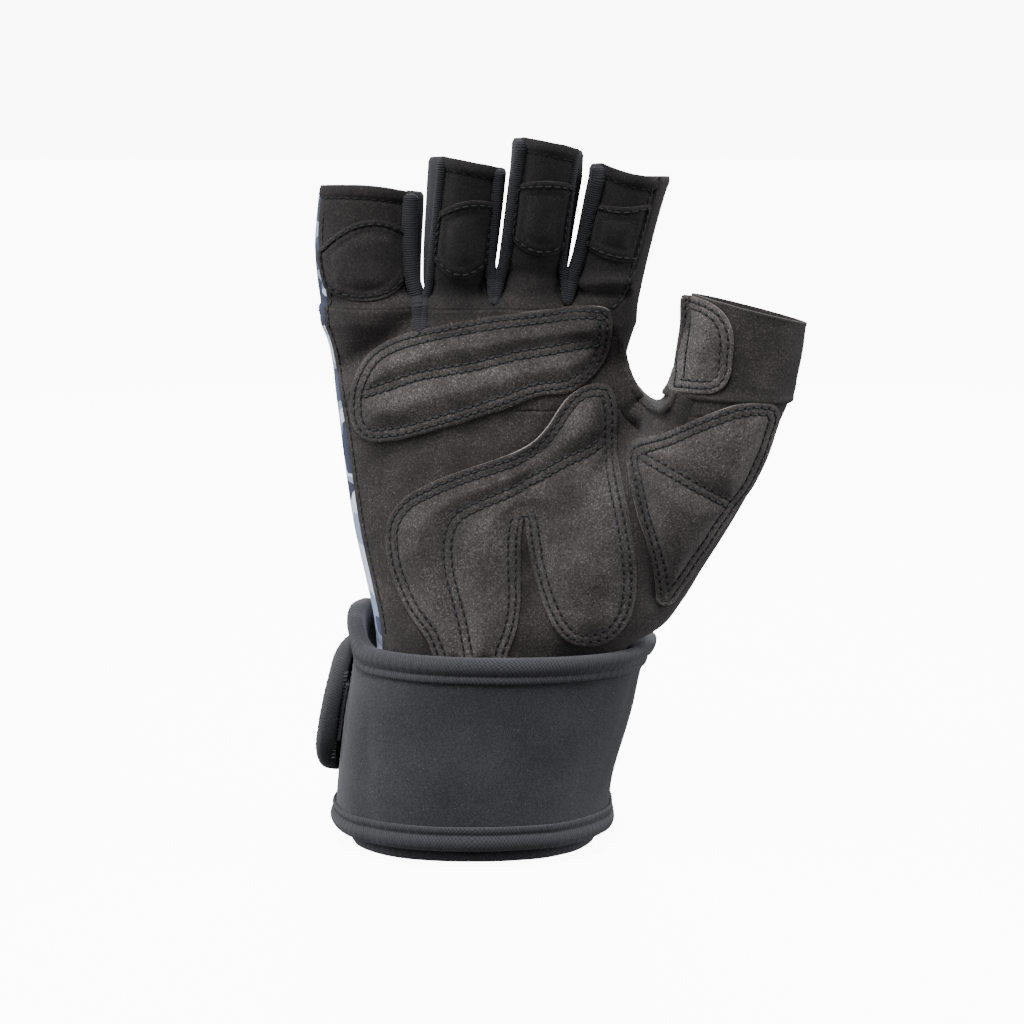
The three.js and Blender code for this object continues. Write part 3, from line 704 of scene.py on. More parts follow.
def strip_edge(form, name, z, side):
    """x where a finger's front ends and its side strip starts; side is -1 or 1."""
    xc, _, half, deep, _ = form.section(name, z)
    return xc + side * half * np.sqrt(1 - (STRIP_HALF / deep) ** 2)


def tongue_bounds(form, name, z):
    """Left and right x of a finger's front at each height."""
    k = FINGERS.index(name)
    open_up = ease((z - SEAM_Z) / 11.0)
    if k == 0:
        xc, _, half, _, _ = form.section(name, z)
        body_left = np.interp(z, form.body[:, 0], form.body[:, 1])
        left = np.where(z < 168, np.minimum(body_left, xc - half), xc - half) + seam_inset(form, z)
    else:
        gap = gap_across(form, k - 1, z)
        left = gap + (strip_edge(form, name, z, -1) - gap) * open_up
    if k == 3:
        right = seam_across(form, z)
    else:
        gap = gap_across(form, k, z)
        right = gap + (strip_edge(form, name, z, 1) - gap) * open_up
    return left, right


def rim_height(form, name, u):
    """Height of a finger's rim: a parabola through its corners and its middle."""
    left, right, middle = (share * form.h for share in RIMS[name])
    return parabola(left, middle, right, u)


def hem_lift(away):
    """Turned hem: a soft ridge at the rim and a groove where it is sewn."""
    return 0.55 * (1 - ease((away - 2.4) / 0.9)) - 0.35 * np.exp(-((away - HEM_SEAM) / 0.55) ** 2)


def build_palm(form):
    """Palm side: rows of points from the little-finger seam to the thumb or the side strip."""
    shape = Shape()
    # heights, left and right x, columns: below the crotch, above it, the thumb
    z = np.linspace(PANEL_FOOT, CROTCH_Z, 88)
    left, right = form.extent(z)
    blocks = [(z, left + seam_inset(form, z), right - 0.05, 120)]
    z = np.linspace(CROTCH_Z, SEAM_Z, 32)
    left, _ = form.extent(z, ("body", "little"))
    blocks.append((z, left + seam_inset(form, z), seam_across(form, z), 92))
    z = np.linspace(CROTCH_Z, SLEEVE_Z + 4, 10)
    left, right = form.extent(z, ("thumb",))
    blocks.append((z, left + 0.3, right - 0.05, 48))
    for z, a, b, columns in blocks:
        u = tucked(columns, 0.85)
        x = a[:, None] + (b - a)[:, None] * u
        zz = np.repeat(z[:, None], columns, 1)
        points, _ = form.on_front(x, zz)
        shape.shell(points, form.wall, PALM_WAY, uv=np.stack([x, zz], -1), soft_at=(0, 0, 1, 1))
    for name in FINGERS:
        u = tucked(34, 0.8 if name == "little" else 0.4)
        v = np.linspace(0, 1, 52)[:, None]
        rim = rim_height(form, name, u)[None, :]
        zz = SEAM_Z + (rim - SEAM_Z) * v
        a, b = tongue_bounds(form, name, zz)
        x = a + (b - a) * u
        points, _ = form.on_front(x, zz, hem_lift(rim - zz))
        shape.shell(points, form.wall, PALM_WAY, uv=np.stack([x, zz], -1), soft_at=(0, 1, 1, 1))
    return shape


def build_back(form):
    """Back of the hand with its finger backs, wrapped a little round to the palm side."""
    shape = Shape()
    # heights, left and right x, columns, parts of the form: below the crotch, above it, the thumb
    z = np.linspace(PANEL_FOOT, CROTCH_Z, 60)
    left, right = form.extent(z)
    blocks = [(z, left, right, 90, None)]
    z = np.linspace(CROTCH_Z, SEAM_Z, 24)
    left, right = form.extent(z, ("body", "little", "index"))
    blocks.append((z, left, right - 0.4, 70, ("body",) + FINGERS))
    z = np.linspace(CROTCH_Z, SLEEVE_Z + 2, 10)
    left, right = form.extent(z, ("thumb",))
    blocks.append((z, left + 1.3, right - 0.5, 40, ("thumb",)))
    for z, a, b, columns, parts in blocks:
        u = tucked(columns)
        x = a[:, None] + (b - a)[:, None] * u
        zz = np.repeat(z[:, None], columns, 1)
        y = form.rear(x, zz, parts)
        # beside the crotch the cloth keeps the place it has just below it
        below = form.rear(x, np.minimum(zz, WEB_FOOT), parts) - 1.5
        beside = (x > WEB_ACROSS[0]) & (x < WEB_ACROSS[1]) & (parts is None)
        y = np.where(beside, np.maximum(y, below), y)
        shape.shell(
            np.stack([x, y, zz], -1), form.wall, -PALM_WAY,
            uv=np.stack([x, zz], -1), inside=1, soft_at=(0, 0, 1, 1))
    for name in FINGERS:
        u = tucked(26)
        v = np.linspace(0, 1, 30)[:, None]
        rim = rim_height(form, name, u)[None, :] - 0.8
        zz = SEAM_Z + (rim - SEAM_Z) * v
        a, b = tongue_bounds(form, name, zz)
        if name == "little":
            a = a - seam_inset(form, zz)
        if name == "index":
            b = strip_edge(form, name, zz, 1)
        x = a + (b - a) * u
        y = form.rear(x, zz, ("body", name))
        shape.shell(
            np.stack([x, y, zz], -1), form.wall, -PALM_WAY,
            uv=np.stack([x, zz], -1), inside=1, soft_at=(0, 1, 1, 1))
    # the edge that shows in front of the little-finger seam
    z = np.linspace(PANEL_FOOT, SEAM_Z, 90)
    left, _ = form.extent(z, ("body", "little", "thumb"))
    rim = rim_height(form, "little", 0.0) - 0.6
    finger_z = np.linspace(SEAM_Z, rim, 30)
    finger_left, _ = form.extent(finger_z, ("little",))
    z, left = np.r_[z, finger_z[1:]], np.r_[left, finger_left[1:]]
    u = tucked(8)
    x = left[:, None] + (seam_inset(form, z)[:, None] + 0.9) * u
    zz = np.repeat(z[:, None], len(u), 1)
    y = form.front(x, zz, ("body", "little")) + 0.35 + 0.5 * ease((u * 3 - 1.6) / 1.4)
    shape.shell(np.stack([x, y, zz], -1), form.wall, PALM_WAY, uv=np.stack([x, zz], -1), inside=1)
    return shape


def rounded_path(a_line, b_line, drop):
    """Path in (x, z) down one finger's side, round the web as a cubic curve and up the next finger's side."""
    (ax, az), (bx, bz) = a_line[-1], b_line[0]
    t = np.linspace(0, 1, 15)[1:-1]
    c1 = np.array([ax, az - drop])
    c2 = np.array([bx, bz - drop])
    start, stop = np.array([ax, az]), np.array([bx, bz])
    arc = (
        ((1 - t) ** 3)[:, None] * start + (3 * t * (1 - t) ** 2)[:, None] * c1
        + (3 * t * t * (1 - t))[:, None] * c2 + (t**3)[:, None] * stop
    )
    return np.vstack([a_line, arc, b_line])


def strip_surface(path, middle, half, deep, bulge, lip, fill):
    """Cloth strip swept along a path in (x, z).

    Its edges curl onto the neighbours along an ellipse, its middle fills the gap as a parabola.
    """
    into = -left_of(path)    # away from the gap
    v = np.linspace(-1, 1, 16)
    y = middle[:, None] + half[:, None] * v
    drop = bulge[:, None] * (1 - np.sqrt(1 - np.clip(half[:, None] * v / deep[:, None], -0.97, 0.97) ** 2))
    drop = drop - fill[:, None] * (1 - v**2)
    points = np.empty((len(path), len(v), 3))
    points[..., 0] = path[:, :1] + into[:, :1] * (drop + lip)
    points[..., 1] = y
    points[..., 2] = path[:, 1:] + into[:, 1:] * (drop + lip)
    return points, into


def ribbed_tube(shape, centre, radius, rib, flat=1.0, sides=14, rise=0.07):
    """Rolled knit edge: a tube along a line, its radius a wave that makes ribs, and thinner at both ends."""
    run = run_along(centre)
    count = max(int(run[-1] / 0.32), 8)
    s = np.linspace(0, run[-1], count)
    line = points_at(s, run, centre)
    width = np.interp(s, run, radius) if np.ndim(radius) else np.full(count, radius)
    along = unit(np.gradient(line, axis=0))
    side = unit(np.cross(along, PALM_WAY))
    front = np.cross(side, along)
    wave = width * (1 + rise * np.cos(2 * math.pi * s / rib))
    ends = np.minimum(1, np.minimum(s, s[-1] - s) / 1.2 + 0.25)
    wave = wave * np.sqrt(ends)
    turns = np.linspace(0, 2 * math.pi, sides, endpoint=False)
    ring = (
        line[:, None] + side[:, None] * (wave[:, None] * np.cos(turns))[..., None]
        + front[:, None] * (wave[:, None] * flat * np.sin(turns))[..., None]
    )
    uv = np.stack(np.broadcast_arrays(s[:, None], turns[None] * 1.5), -1)
    shape.grid(ring, closed_v=True, uv=uv)
    for k, flip in ((0, True), (-1, False)):
        here = np.arange(sides)
        ahead = (here + 1) % sides
        fan = np.column_stack([ahead, here] if flip else [here, ahead])
        fan = np.column_stack([fan, np.full(sides, sides)])
        shape.add(np.concatenate([ring[k], line[k][None]]), fan)


def gap_half(form, a, b, z):
    """Half the gap between two fingers at each height."""
    xa, _, ha, _, _ = form.section(a, z)
    xb, _, hb, _, _ = form.section(b, z)
    return (xb - hb - xa - ha) / 2


def build_fourchette(form, k):
    """Ribbed strip between two fingers, with its rolled front edge."""
    shape = Shape()
    a, b = FINGERS[k], FINGERS[k + 1]
    web, drop, left_width, right_width = WEBS[k]
    turn_z = web + 5.0
    rows = 40    # along each finger's side
    za = np.linspace(rim_height(form, a, 1.0) - 0.5, turn_z, rows)
    zb = np.linspace(turn_z, rim_height(form, b, 0.0) - 0.5, rows)
    xa, ya, ha, da, _ = form.section(a, za)
    xb, yb, hb, db, _ = form.section(b, zb)
    left = np.column_stack([xa + ha, za])
    right = np.column_stack([xb - hb, zb])
    low = gap_across(form, k, turn_z)
    left[:, 0] = np.minimum(left[:, 0], low - 0.9 + (za - turn_z) * 0.12)
    right[:, 0] = np.maximum(right[:, 0], low + 0.9 - (zb - turn_z) * 0.02)
    path = rounded_path(left, right, drop)
    n = len(path)
    known = np.r_[np.arange(rows), n - rows + np.arange(rows)]
    middle, deep, bulge = (
        np.interp(np.arange(n), known, np.r_[one, other]) for one, other in ((ya, yb), (da, db), (ha, hb)))
    half = np.full(n, STRIP_HALF)
    room = np.r_[gap_half(form, a, b, za), np.full(n - 2 * rows, 0.4), gap_half(form, a, b, zb)]
    top = np.r_[np.full(n // 2, za[0]), np.full(n - n // 2, zb[-1])]
    fill = np.clip(room - 0.12, 0.1, 4.0) * (1 - 0.12 * ease((path[:, 1] - top + 9) / 9))
    points, into = strip_surface(path, middle, half, deep, bulge, 0.2, fill)
    shape.shell(points, form.wall, np.stack([-into[:, 0], np.zeros(n), -into[:, 1]], -1)[:, None, :])
    width = np.interp(
        np.arange(n), (0, rows - 1, n / 2, n - rows, n - 1),
        (left_width, left_width, 1.1, right_width, right_width))
    edge = points[:, 0].copy()
    edge[:, 0] -= into[:, 0] * (width - 1.0)
    edge[:, 1] -= 0.9
    edge[:, 2] -= into[:, 1] * (width - 1.0)
    # the roll closes at its foot and stands out over the palm there
    closing = 0.7 * (1 - ease((edge[:, 2] - turn_z + 4) / 12))
    edge[:, 0] += (gap_across(form, k, edge[:, 2]) - edge[:, 0]) * closing
    low = edge[:, 2] < turn_z
    edge[low, 1] = np.minimum(edge[low, 1], form.front(edge[low, 0], edge[low, 2], ("body",)) - 0.1)
    ribbed_tube(shape, edge, width, 0.8, flat=0.8, rise=0.02)
    return shape


def build_gusset(form):
    """Side strip from the index finger's rim down the hand's edge and round the thumb's crotch."""
    shape = Shape()
    rim = rim_height(form, "index", 1.0)
    z = np.linspace(GUSSET_FOOT, rim, 60)
    x0 = seam_across(form, z) - 0.2
    y0 = form.front(x0, z, ("body", "index"))
    _, middle, _, _, _ = form.section("index", z)
    y1 = middle + STRIP_HALF + 3.0
    u = np.linspace(0, 1, 18) ** 1.4
    yy = y0[:, None] + (y1 - y0)[:, None] * u
    zz = np.repeat(z[:, None], len(u), 1)
    xx = form.meet(yy, zz, *SIDE_REACH, along="x", parts=("body", "index"))
    xx[:, 0] = x0
    lift = 0.35 + 0.5 * np.exp(-((rim - zz) / 2.6) ** 2)
    points = np.stack([xx + lift * 0.7, yy - lift * (1 - u), zz], -1)
    shape.shell(points, form.wall, np.array([1.0, -0.4, 0.0]))
    # saddle between the index finger and the thumb: the web's line swept from front to back
    line = smooth_loop(form.flat(CROTCH_LINE), 90, False)
    up = left_of(line)
    deep = 6.0 + 4.0 * np.clip(up[:, 1], 0, 1)
    inner = line - up * deep[:, None]
    parts = ("body", "thumb", "index")

    def evened(y):
        """Depths averaged over thirteen neighbours."""
        return np.convolve(np.pad(y, 6, mode="edge"), np.ones(13) / 13, "valid")

    foot = form.front(inner[:, 0], inner[:, 1], parts)
    front = evened(foot) - 0.25
    y0, y1 = front + 1.8, evened(form.rear(inner[:, 0], inner[:, 1], parts)) - 1.2
    v = np.linspace(0, 1, 26)
    turned = 0.2 - 1.6 * np.abs(2 * v - 1) ** 5
    points = np.empty((len(line), len(v), 3))
    points[..., 0] = line[:, :1] + up[:, :1] * turned
    points[..., 1] = y0[:, None] + (y1 - y0)[:, None] * v
    points[..., 2] = line[:, 1:] + up[:, 1:] * turned
    shape.shell(points, form.wall, np.stack([up[:, 0], 0 * y0, up[:, 1]], -1)[:, None, :])
    # its front, laid down onto the palm
    v = np.linspace(0, 1, 12)
    points = np.empty((len(line), len(v), 3))
    points[..., 0] = line[:, :1] - up[:, :1] * (1.0 + (deep[:, None] - 1.0) * v)
    points[..., 1] = y0[:, None] + (front - y0)[:, None] * np.sin(v * math.pi / 2)
    points[..., 1] += (foot + 0.3 - front)[:, None] * ease(v * 1.6 - 0.6)
    points[..., 2] = line[:, 1:] - up[:, 1:] * (1.0 + (deep[:, None] - 1.0) * v)
    shape.shell(points, form.wall, PALM_WAY)
    # its rolled front edge, thinner at both ends
    roll = np.column_stack([line[:, 0] - up[:, 0], y0 - 0.1, line[:, 1] - up[:, 1]])
    ends = np.minimum(np.arange(len(roll)), np.arange(len(roll))[::-1]) / 16
    ribbed_tube(shape, roll, 0.4 + 0.8 * np.clip(ends, 0, 1), 2.5, flat=0.8, rise=0.04)
    return shape


def build_sleeve(form):
    """Tube of the thumb with a turned lower edge and a hemmed, slanting rim."""
    shape = Shape()
    rows, around = 60, 96
    v = np.linspace(0, 1, rows)
    top = form.thumb[-1, 0]
    z = SLEEVE_Z + (top - SLEEVE_Z) * v
    part = follow(form.thumb, z)
    left, right, front, back, slant = (part[:, i, None] for i in range(5))
    turns = np.linspace(0, 2 * math.pi, around, endpoint=False)
    cos, sin = np.cos(turns)[None], np.sin(turns)[None]
    zz = z[:, None] - slant * cos
    away = (top - z)[:, None]
    low = (z - SLEEVE_Z)[:, None]
    lift = 0.3 + 0.25 * np.exp(-(away / 1.2) ** 2)
    lift = lift + 0.45 * np.exp(-((low - 0.9) / 1.3) ** 2) - 0.5 * (low < 0.01)
    lift = lift + 0.35 * np.exp(-((low - 5) / 3.0) ** 2) * np.sin(turns * 5 + 1.0)[None]
    x = (left + right) / 2 + ((right - left) / 2 + lift) * cos
    y = (front + back) / 2 + ((back - front) / 2 + lift) * sin
    y = y - np.clip(-sin * 1.6 - 0.2, 0, 1) * form.fold(x, zz)
    points = np.stack([x, y, zz + 0 * x], -1)
    du = np.gradient(points, axis=0)
    dv = np.roll(points, -1, axis=1) - np.roll(points, 1, axis=1)
    inner = points - unit(np.cross(dv, du)) * form.wall
    uv = np.stack([x, zz], -1)
    shape.grid(points, closed_v=True, uv=uv, flip=True)
    shape.grid(inner, closed_v=True, uv=uv)
    for k in (0, -1):
        shape.grid(np.stack([points[k], (points[k] + inner[k]) / 2, inner[k]]), closed_v=True)
    return shape


# pads and patches
EDGE_ROWS = (0.3, 0.7, 1.1, 1.5, 1.9, 2.4, 3.0, 3.6, 4.2)    # mm inside a pad's edge
CHANNEL_ROWS = (-2.3, -1.7, -1.1, -0.5, 0.5, 1.1, 1.7, 2.3)    # mm beside a channel
SPACING = 1.0       # mm between the points inside a pad
ROW_STEP = 0.866    # height of a triangle with equal sides, to its side
EDGE_STITCHES = (1.5, 3.5)         # mm inside the edge
CHANNEL_STITCHES = (-1.1, 1.1)     # mm beside a channel
EDGE_FLAT, CHANNEL_FLAT = 4.1, 1.7    # mm from the edge and from a channel where a pad starts to swell


def triangles_in(outline, channels):
    """Plane points and triangles that fill an outline.

    Rows of points run just inside the edge and beside each channel, an even pattern fills the rest.
    """
    inwards = inwards_of(outline)
    loose = []
    for inset in EDGE_ROWS:
        ring = outline + inwards * inset
        keep = distance_to(outline, ring[:, 0], ring[:, 1]) > inset * 0.93
        keep &= inside_of(outline, ring[:, 0], ring[:, 1])
        loose.append(ring[keep])
    low, high = outline.min(0), outline.max(0)
    xs = np.arange(low[0], high[0], SPACING)
    zs = np.arange(low[1], high[1], SPACING * ROW_STEP)
    gx, gz = np.meshgrid(xs, zs)
    gx = gx + (np.arange(len(zs)) % 2)[:, None] * SPACING / 2
    gx, gz = gx.ravel(), gz.ravel()
    keep = inside_of(outline, gx, gz)
    gx, gz = gx[keep], gz[keep]
    keep = distance_to(outline, gx, gz) > 4.7
    for line in channels:
        keep &= distance_to(line, gx, gz, closed=False) > 2.6
        for away in CHANNEL_ROWS:
            row = line + left_of(line) * away
            inner = inside_of(outline, row[:, 0], row[:, 1])
            inner &= distance_to(outline, row[:, 0], row[:, 1]) > 4.6
            loose.append(row[inner])
    loose.append(np.column_stack([gx[keep], gz[keep]]))
    points = np.vstack([outline] + loose)
    verts, _, faces, _, _, _ = delaunay_2d_cdt(
        [Vector(p) for p in points.tolist()], [], [list(range(len(outline)))], 1, 1e-5)
    return np.array([tuple(v) for v in verts]), [list(f) for f in faces]


def pad_height(x, z, outline, channels, edge, puff, reach):
    """Thickness of a pad: thin at its sewn edge, full inside, pressed down along sewn channels."""
    away = distance_to(outline, x, z)
    inner = away - EDGE_FLAT
    groove = sum(np.exp(-((away - inset) / 0.5) ** 2) for inset in EDGE_STITCHES)
    for line in channels:
        d = distance_to(line, x, z, closed=False)
        inner = np.minimum(inner, d - CHANNEL_FLAT)
        groove = groove + np.exp(-((d - CHANNEL_STITCHES[1]) / 0.5) ** 2)
    full = np.sin(np.clip(inner / reach, 0, 1) * math.pi / 2)
    return edge + (puff - edge) * full - 0.24 * np.clip(groove, 0, 1.1) + ripple(x, z, 14.0, 8) * 0.12


def build_pad(form, outline, channels, edge, puff, reach, base=0.0):
    """Pad over the palm side inside an outline, with a cut edge; base is the cloth's height under it."""
    shape = Shape()
    under = 0.4
    plane, faces = triangles_in(outline, channels)
    x, z = plane[:, 0], plane[:, 1]
    high = pad_height(x, z, outline, channels, edge, puff, reach)
    away = distance_to(outline, x, z)
    high = high - 0.25 * (1 - ease(away / 0.6))
    points, _ = form.on_front(x, z, base + high)
    shape.points.append(points)
    shape.uvs.append(plane)
    shape.faces.extend(faces)
    shape.slots.extend([0] * len(faces))
    shape.count = len(points)
    foot, normal = form.on_front(outline[:, 0], outline[:, 1], base - under)
    level = edge - 0.25
    sides = np.stack([foot, foot + normal * (under + level * 0.6), foot + normal * (under + level)])
    sides = np.concatenate([sides, sides[:, :1]], 1)
    shape.grid(sides, slot=3)
    return shape


def patch_outline(form, name):
    """Closed outline of a finger patch: along its upper edge and back along its lower."""
    lines = []
    left_inset = 0.3 if name == "little" else 0.5
    for edge, way in ((PATCHES[name][:3], 1), (PATCHES[name][3:], -1)):
        u = np.linspace(0, 1, 26)[::way]
        z = parabola(*(share * form.h for share in edge), u)
        a, b = tongue_bounds(form, name, z)
        lines.append(np.column_stack([a + left_inset + (b - a - left_inset - 0.5) * u, z]))
    return np.vstack(lines)


# wrist
# strap: turns in degrees, heights and thicknesses in mm; the tab is its narrower end
STRAP = {
    "start": -25.0, "foot": 6.0, "top": 61.5, "thick": 3.0,
    "rise": 4.0, "rise_from": 215.0, "rise_over": 55.0,
    "start_rise": 9.0, "start_until": 30.0, "start_over": 44.0,
    "lift_foot": 2.4, "lift_top": 3.7,
    "tab_from": 292.0, "tab_over": 36.0, "tab_foot": 18.5, "tab_top": 59.5, "tab_lift": 5.0,
    "bow": 2.4, "bow_middle": 39.0, "bow_half": 21.0,
}
CUFF = {"foot": 1.1, "top": 46.7, "thick": 2.6}
RUN_RADIUS = 38    # mm that the cloth's pattern runs for each radian round the wrist
WIDE_LEG, NARROW_LEG = 6.2, 3.6    # how far a folded tape reaches over the strap's and the cuff's edge


def wrist_point(form, turn, z, off):
    """Point round the wrist, on a squarish ellipse: turn 0 is the little-finger side, 90 the palm side."""
    turn, z, off = np.broadcast_arrays(np.asarray(turn, float), np.asarray(z, float), np.asarray(off, float))
    v = follow(form.body, z)
    left, right, front, back = v[..., 0], v[..., 1], v[..., 2], v[..., 3]
    c, s = np.cos(np.radians(turn)), np.sin(np.radians(turn))
    c, s = np.sign(c) * np.abs(c) ** 0.86, np.sign(s) * np.abs(s) ** 0.86
    x = (left + right) / 2 - ((right - left) / 2 + off) * c
    y = (front + back) / 2 - ((back - front) / 2 + off) * s
    return np.stack([x, y, z], -1)


def to_tab(turn):
    """0 along the strap, 1 on its narrower end."""
    return ease((turn - STRAP["tab_from"]) / STRAP["tab_over"])


def strap_top(turn):
    """Height of the strap's upper edge: it rises on the back and at its start."""
    back = STRAP["rise"] * ease((turn - STRAP["rise_from"]) / STRAP["rise_over"]) * (1 - to_tab(turn))
    start = STRAP["start_rise"] * ease((STRAP["start_until"] - turn) / STRAP["start_over"])
    return STRAP["top"] + back + start + (STRAP["tab_top"] - STRAP["top"]) * to_tab(turn)


def strap_foot(turn):
    """Height of the strap's lower edge."""
    return STRAP["foot"] + (STRAP["tab_foot"] - STRAP["foot"]) * to_tab(turn)


def strap_lift(turn, z):
    """Gap between the wrist and the strap's inner face: wider at its top, and the end stands out in a bow."""
    share = (z - STRAP["foot"]) / (STRAP["top"] - STRAP["foot"])
    rise = STRAP["lift_foot"] + (STRAP["lift_top"] - STRAP["lift_foot"]) * share
    bow = np.clip(1 - ((z - STRAP["bow_middle"]) / STRAP["bow_half"]) ** 2, -0.2, 1)
    bow = STRAP["bow"] * bow - STRAP["bow"] / 2
    return rise + (STRAP["tab_lift"] + bow) * to_tab(turn)


def strap_waves(turn, z):
    """Soft dents of the strap: a few slanting creases and general unevenness."""
    soft = ripple(turn * 0.6, z, 34.0, 11) * 0.35
    crease = -0.3 * np.exp(-(((turn - 152) - (z - 30) * 0.35) / 5.0) ** 2) * ease((z - 8) / 12)
    crease = crease - 0.5 * np.exp(-(((turn - 40) + (z - 30) * 0.25) / 6.0) ** 2) * ease((52 - z) / 14)
    return soft + crease


TIP_FROM, TIP_SWEEP = 334.0, 36.0    # the strap's rounded end starts here and is so long, degrees
TIP_POWER = 2.2


def tip_share(along):
    """Share of the strap's width left at each share of its rounded end, a slightly squared ellipse."""
    return np.clip(1 - np.asarray(along, float) ** TIP_POWER, 0, 1) ** (1 / TIP_POWER)


def strap_path(sign, count=900):
    """Turn and height along the strap's upper (1) or lower (-1) edge, from its start to its tip."""
    turn = np.linspace(STRAP["start"], TIP_FROM, count)
    swing = np.linspace(0, math.pi / 2, 160)[1:]
    turn = np.r_[turn, TIP_FROM + TIP_SWEEP * np.sin(swing)]
    share = np.r_[np.ones(count), tip_share(np.sin(swing))]
    high, low = strap_top(turn), strap_foot(turn)
    return turn, (high + low) / 2 + sign * (high - low) / 2 * share


def build_strap(form):
    """Strap once round the wrist, its rounded end standing over its start: one closed ring for each turn."""
    shape = Shape()
    swing = np.linspace(0, math.pi / 2, 24)[1:]
    turns = np.r_[np.arange(STRAP["start"], TIP_FROM, 1.6), TIP_FROM + TIP_SWEEP * np.sin(swing)]
    rings = []
    columns = 26
    share = np.linspace(-1, 1, columns)
    round_edge = np.linspace(0, math.pi, 7)[1:-1]
    for turn in turns:
        high, low = strap_top(turn), strap_foot(turn)
        end = max(0.055, tip_share(max(0.0, (turn - TIP_FROM) / TIP_SWEEP)))
        middle, half = (high + low) / 2, (high - low) / 2 * end
        z = middle + half * share
        inner = strap_lift(turn, z)
        outer = inner + STRAP["thick"] + strap_waves(turn, z)
        edge_z, edge_off = [], []
        for sign, at in ((1, -1), (-1, 0)):
            centre = (inner[at] + outer[at]) / 2
            radius = (outer[at] - inner[at]) / 2
            edge_z.append(z[at] + sign * radius * 0.6 * np.sin(round_edge))
            edge_off.append(centre - sign * radius * np.cos(round_edge))
        zs = np.r_[z, edge_z[0], z[::-1], edge_z[1]]
        offs = np.r_[inner, edge_off[0], outer[::-1], edge_off[1]]
        rings.append(wrist_point(form, turn, zs, offs))
    rings = np.array(rings)
    uv = np.stack(np.broadcast_arrays(np.radians(turns)[:, None] * RUN_RADIUS, rings[..., 2]), -1)
    shape.grid(rings, closed_v=True, uv=uv, flip=True)
    outside = columns + len(round_edge)
    for k in (0, -1):
        cap = np.stack([rings[k][:columns], rings[k][outside:outside + columns][::-1]], 0)
        shape.grid(cap, flip=k == 0)
    return shape


def tape_section(thick, leg):
    """Section of a tape folded over an edge of the given thickness: outwards and up from the edge, in mm."""
    k = leg / WIDE_LEG
    t = thick
    return np.array([
        (-1.0, -6.0 * k), (-1.05, -3.0 * k), (-1.0, -0.6), (-0.6, 0.6), (0.3, 1.2), (t * 0.5, 1.4),
        (t + 0.2, 1.25), (t + 1.0, 0.75), (t + 1.55, -0.3 * k), (t + 1.75, -1.4 * k), (t + 1.5, -2.5 * k),
        (t + 0.9, -3.3 * k), (t + 0.42, -3.75 * k), (t + 0.75, -4.2 * k), (t + 1.0, -4.7 * k),
        (t + 1.0, -5.6 * k), (t + 0.75, -6.1 * k), (t + 0.3, -6.15 * k), (t + 0.25, -3.7 * k),
        (t + 0.2, -0.4), (t * 0.5, 0.3), (-0.2, -0.4), (-0.3, -3.0 * k), (-0.35, -6.0 * k),
    ])


def build_tape(form, path, lift_at, thick, leg, sign, closed=False):
    """Knitted tape folded over an edge given by turns and heights, with a sewn groove along it."""
    shape = Shape()
    section = tape_section(thick, leg)
    turn, edge = path
    degree = 0.62    # mm along the wrist for each degree
    run = np.r_[0, np.cumsum(np.hypot(np.diff(turn) * degree, np.diff(edge)))]
    count = int(run[-1] / 0.45)
    stops = np.linspace(0, run[-1], count, endpoint=not closed)
    turn, edge = np.interp(stops, run, turn), np.interp(stops, run, edge)
    ahead = unit(np.column_stack([np.gradient(turn) * degree, np.gradient(edge)]))
    up = section[None, :, 1] * sign
    at_turn = turn[:, None] - up * ahead[:, 1:] / degree
    at_z = edge[:, None] + up * ahead[:, :1]
    outside = section[None, :, 0] > thick * 0.5
    off = lift_at(at_turn, at_z) + section[None, :, 0]
    off = off + ripple(stops, stops * 0, 17.0, 3)[:, None] * 0.15 * outside
    off = off + (0.05 * np.cos(2 * math.pi * stops / 2.3))[:, None] * (section[:, 0] > thick + 0.4)
    if not closed:
        off = off + strap_waves(at_turn, at_z) * outside
    points = wrist_point(form, at_turn, at_z, off)
    across = run_along(section)
    uv = np.stack(np.broadcast_arrays(stops[:, None], across[None]), -1)
    shape.grid(points, closed_u=closed, closed_v=True, uv=uv, flip=sign > 0)
    half = len(section) // 2
    if not closed:
        for k in (0, -1):
            strip = np.stack([points[k, :half], points[k, half:][::-1]], 0)
            shape.grid(strip, flip=k == 0)
    return shape


def build_cuff(form):
    """Inner tube of the wrist: up its outer face and down its inner face at each turn."""
    shape = Shape()
    turns = np.linspace(0, 360, 120, endpoint=False)[:, None]
    z = np.linspace(CUFF["foot"], CUFF["top"], 24)
    zs = np.r_[z, z[::-1]][None]
    offs = np.r_[np.zeros(len(z)), np.full(len(z), -CUFF["thick"])][None]
    points = wrist_point(form, turns + 0 * zs, zs, offs)
    uv = np.stack(np.broadcast_arrays(np.radians(turns) * RUN_RADIUS, zs), -1)
    shape.grid(points, closed_u=True, closed_v=True, uv=uv)
    return shape


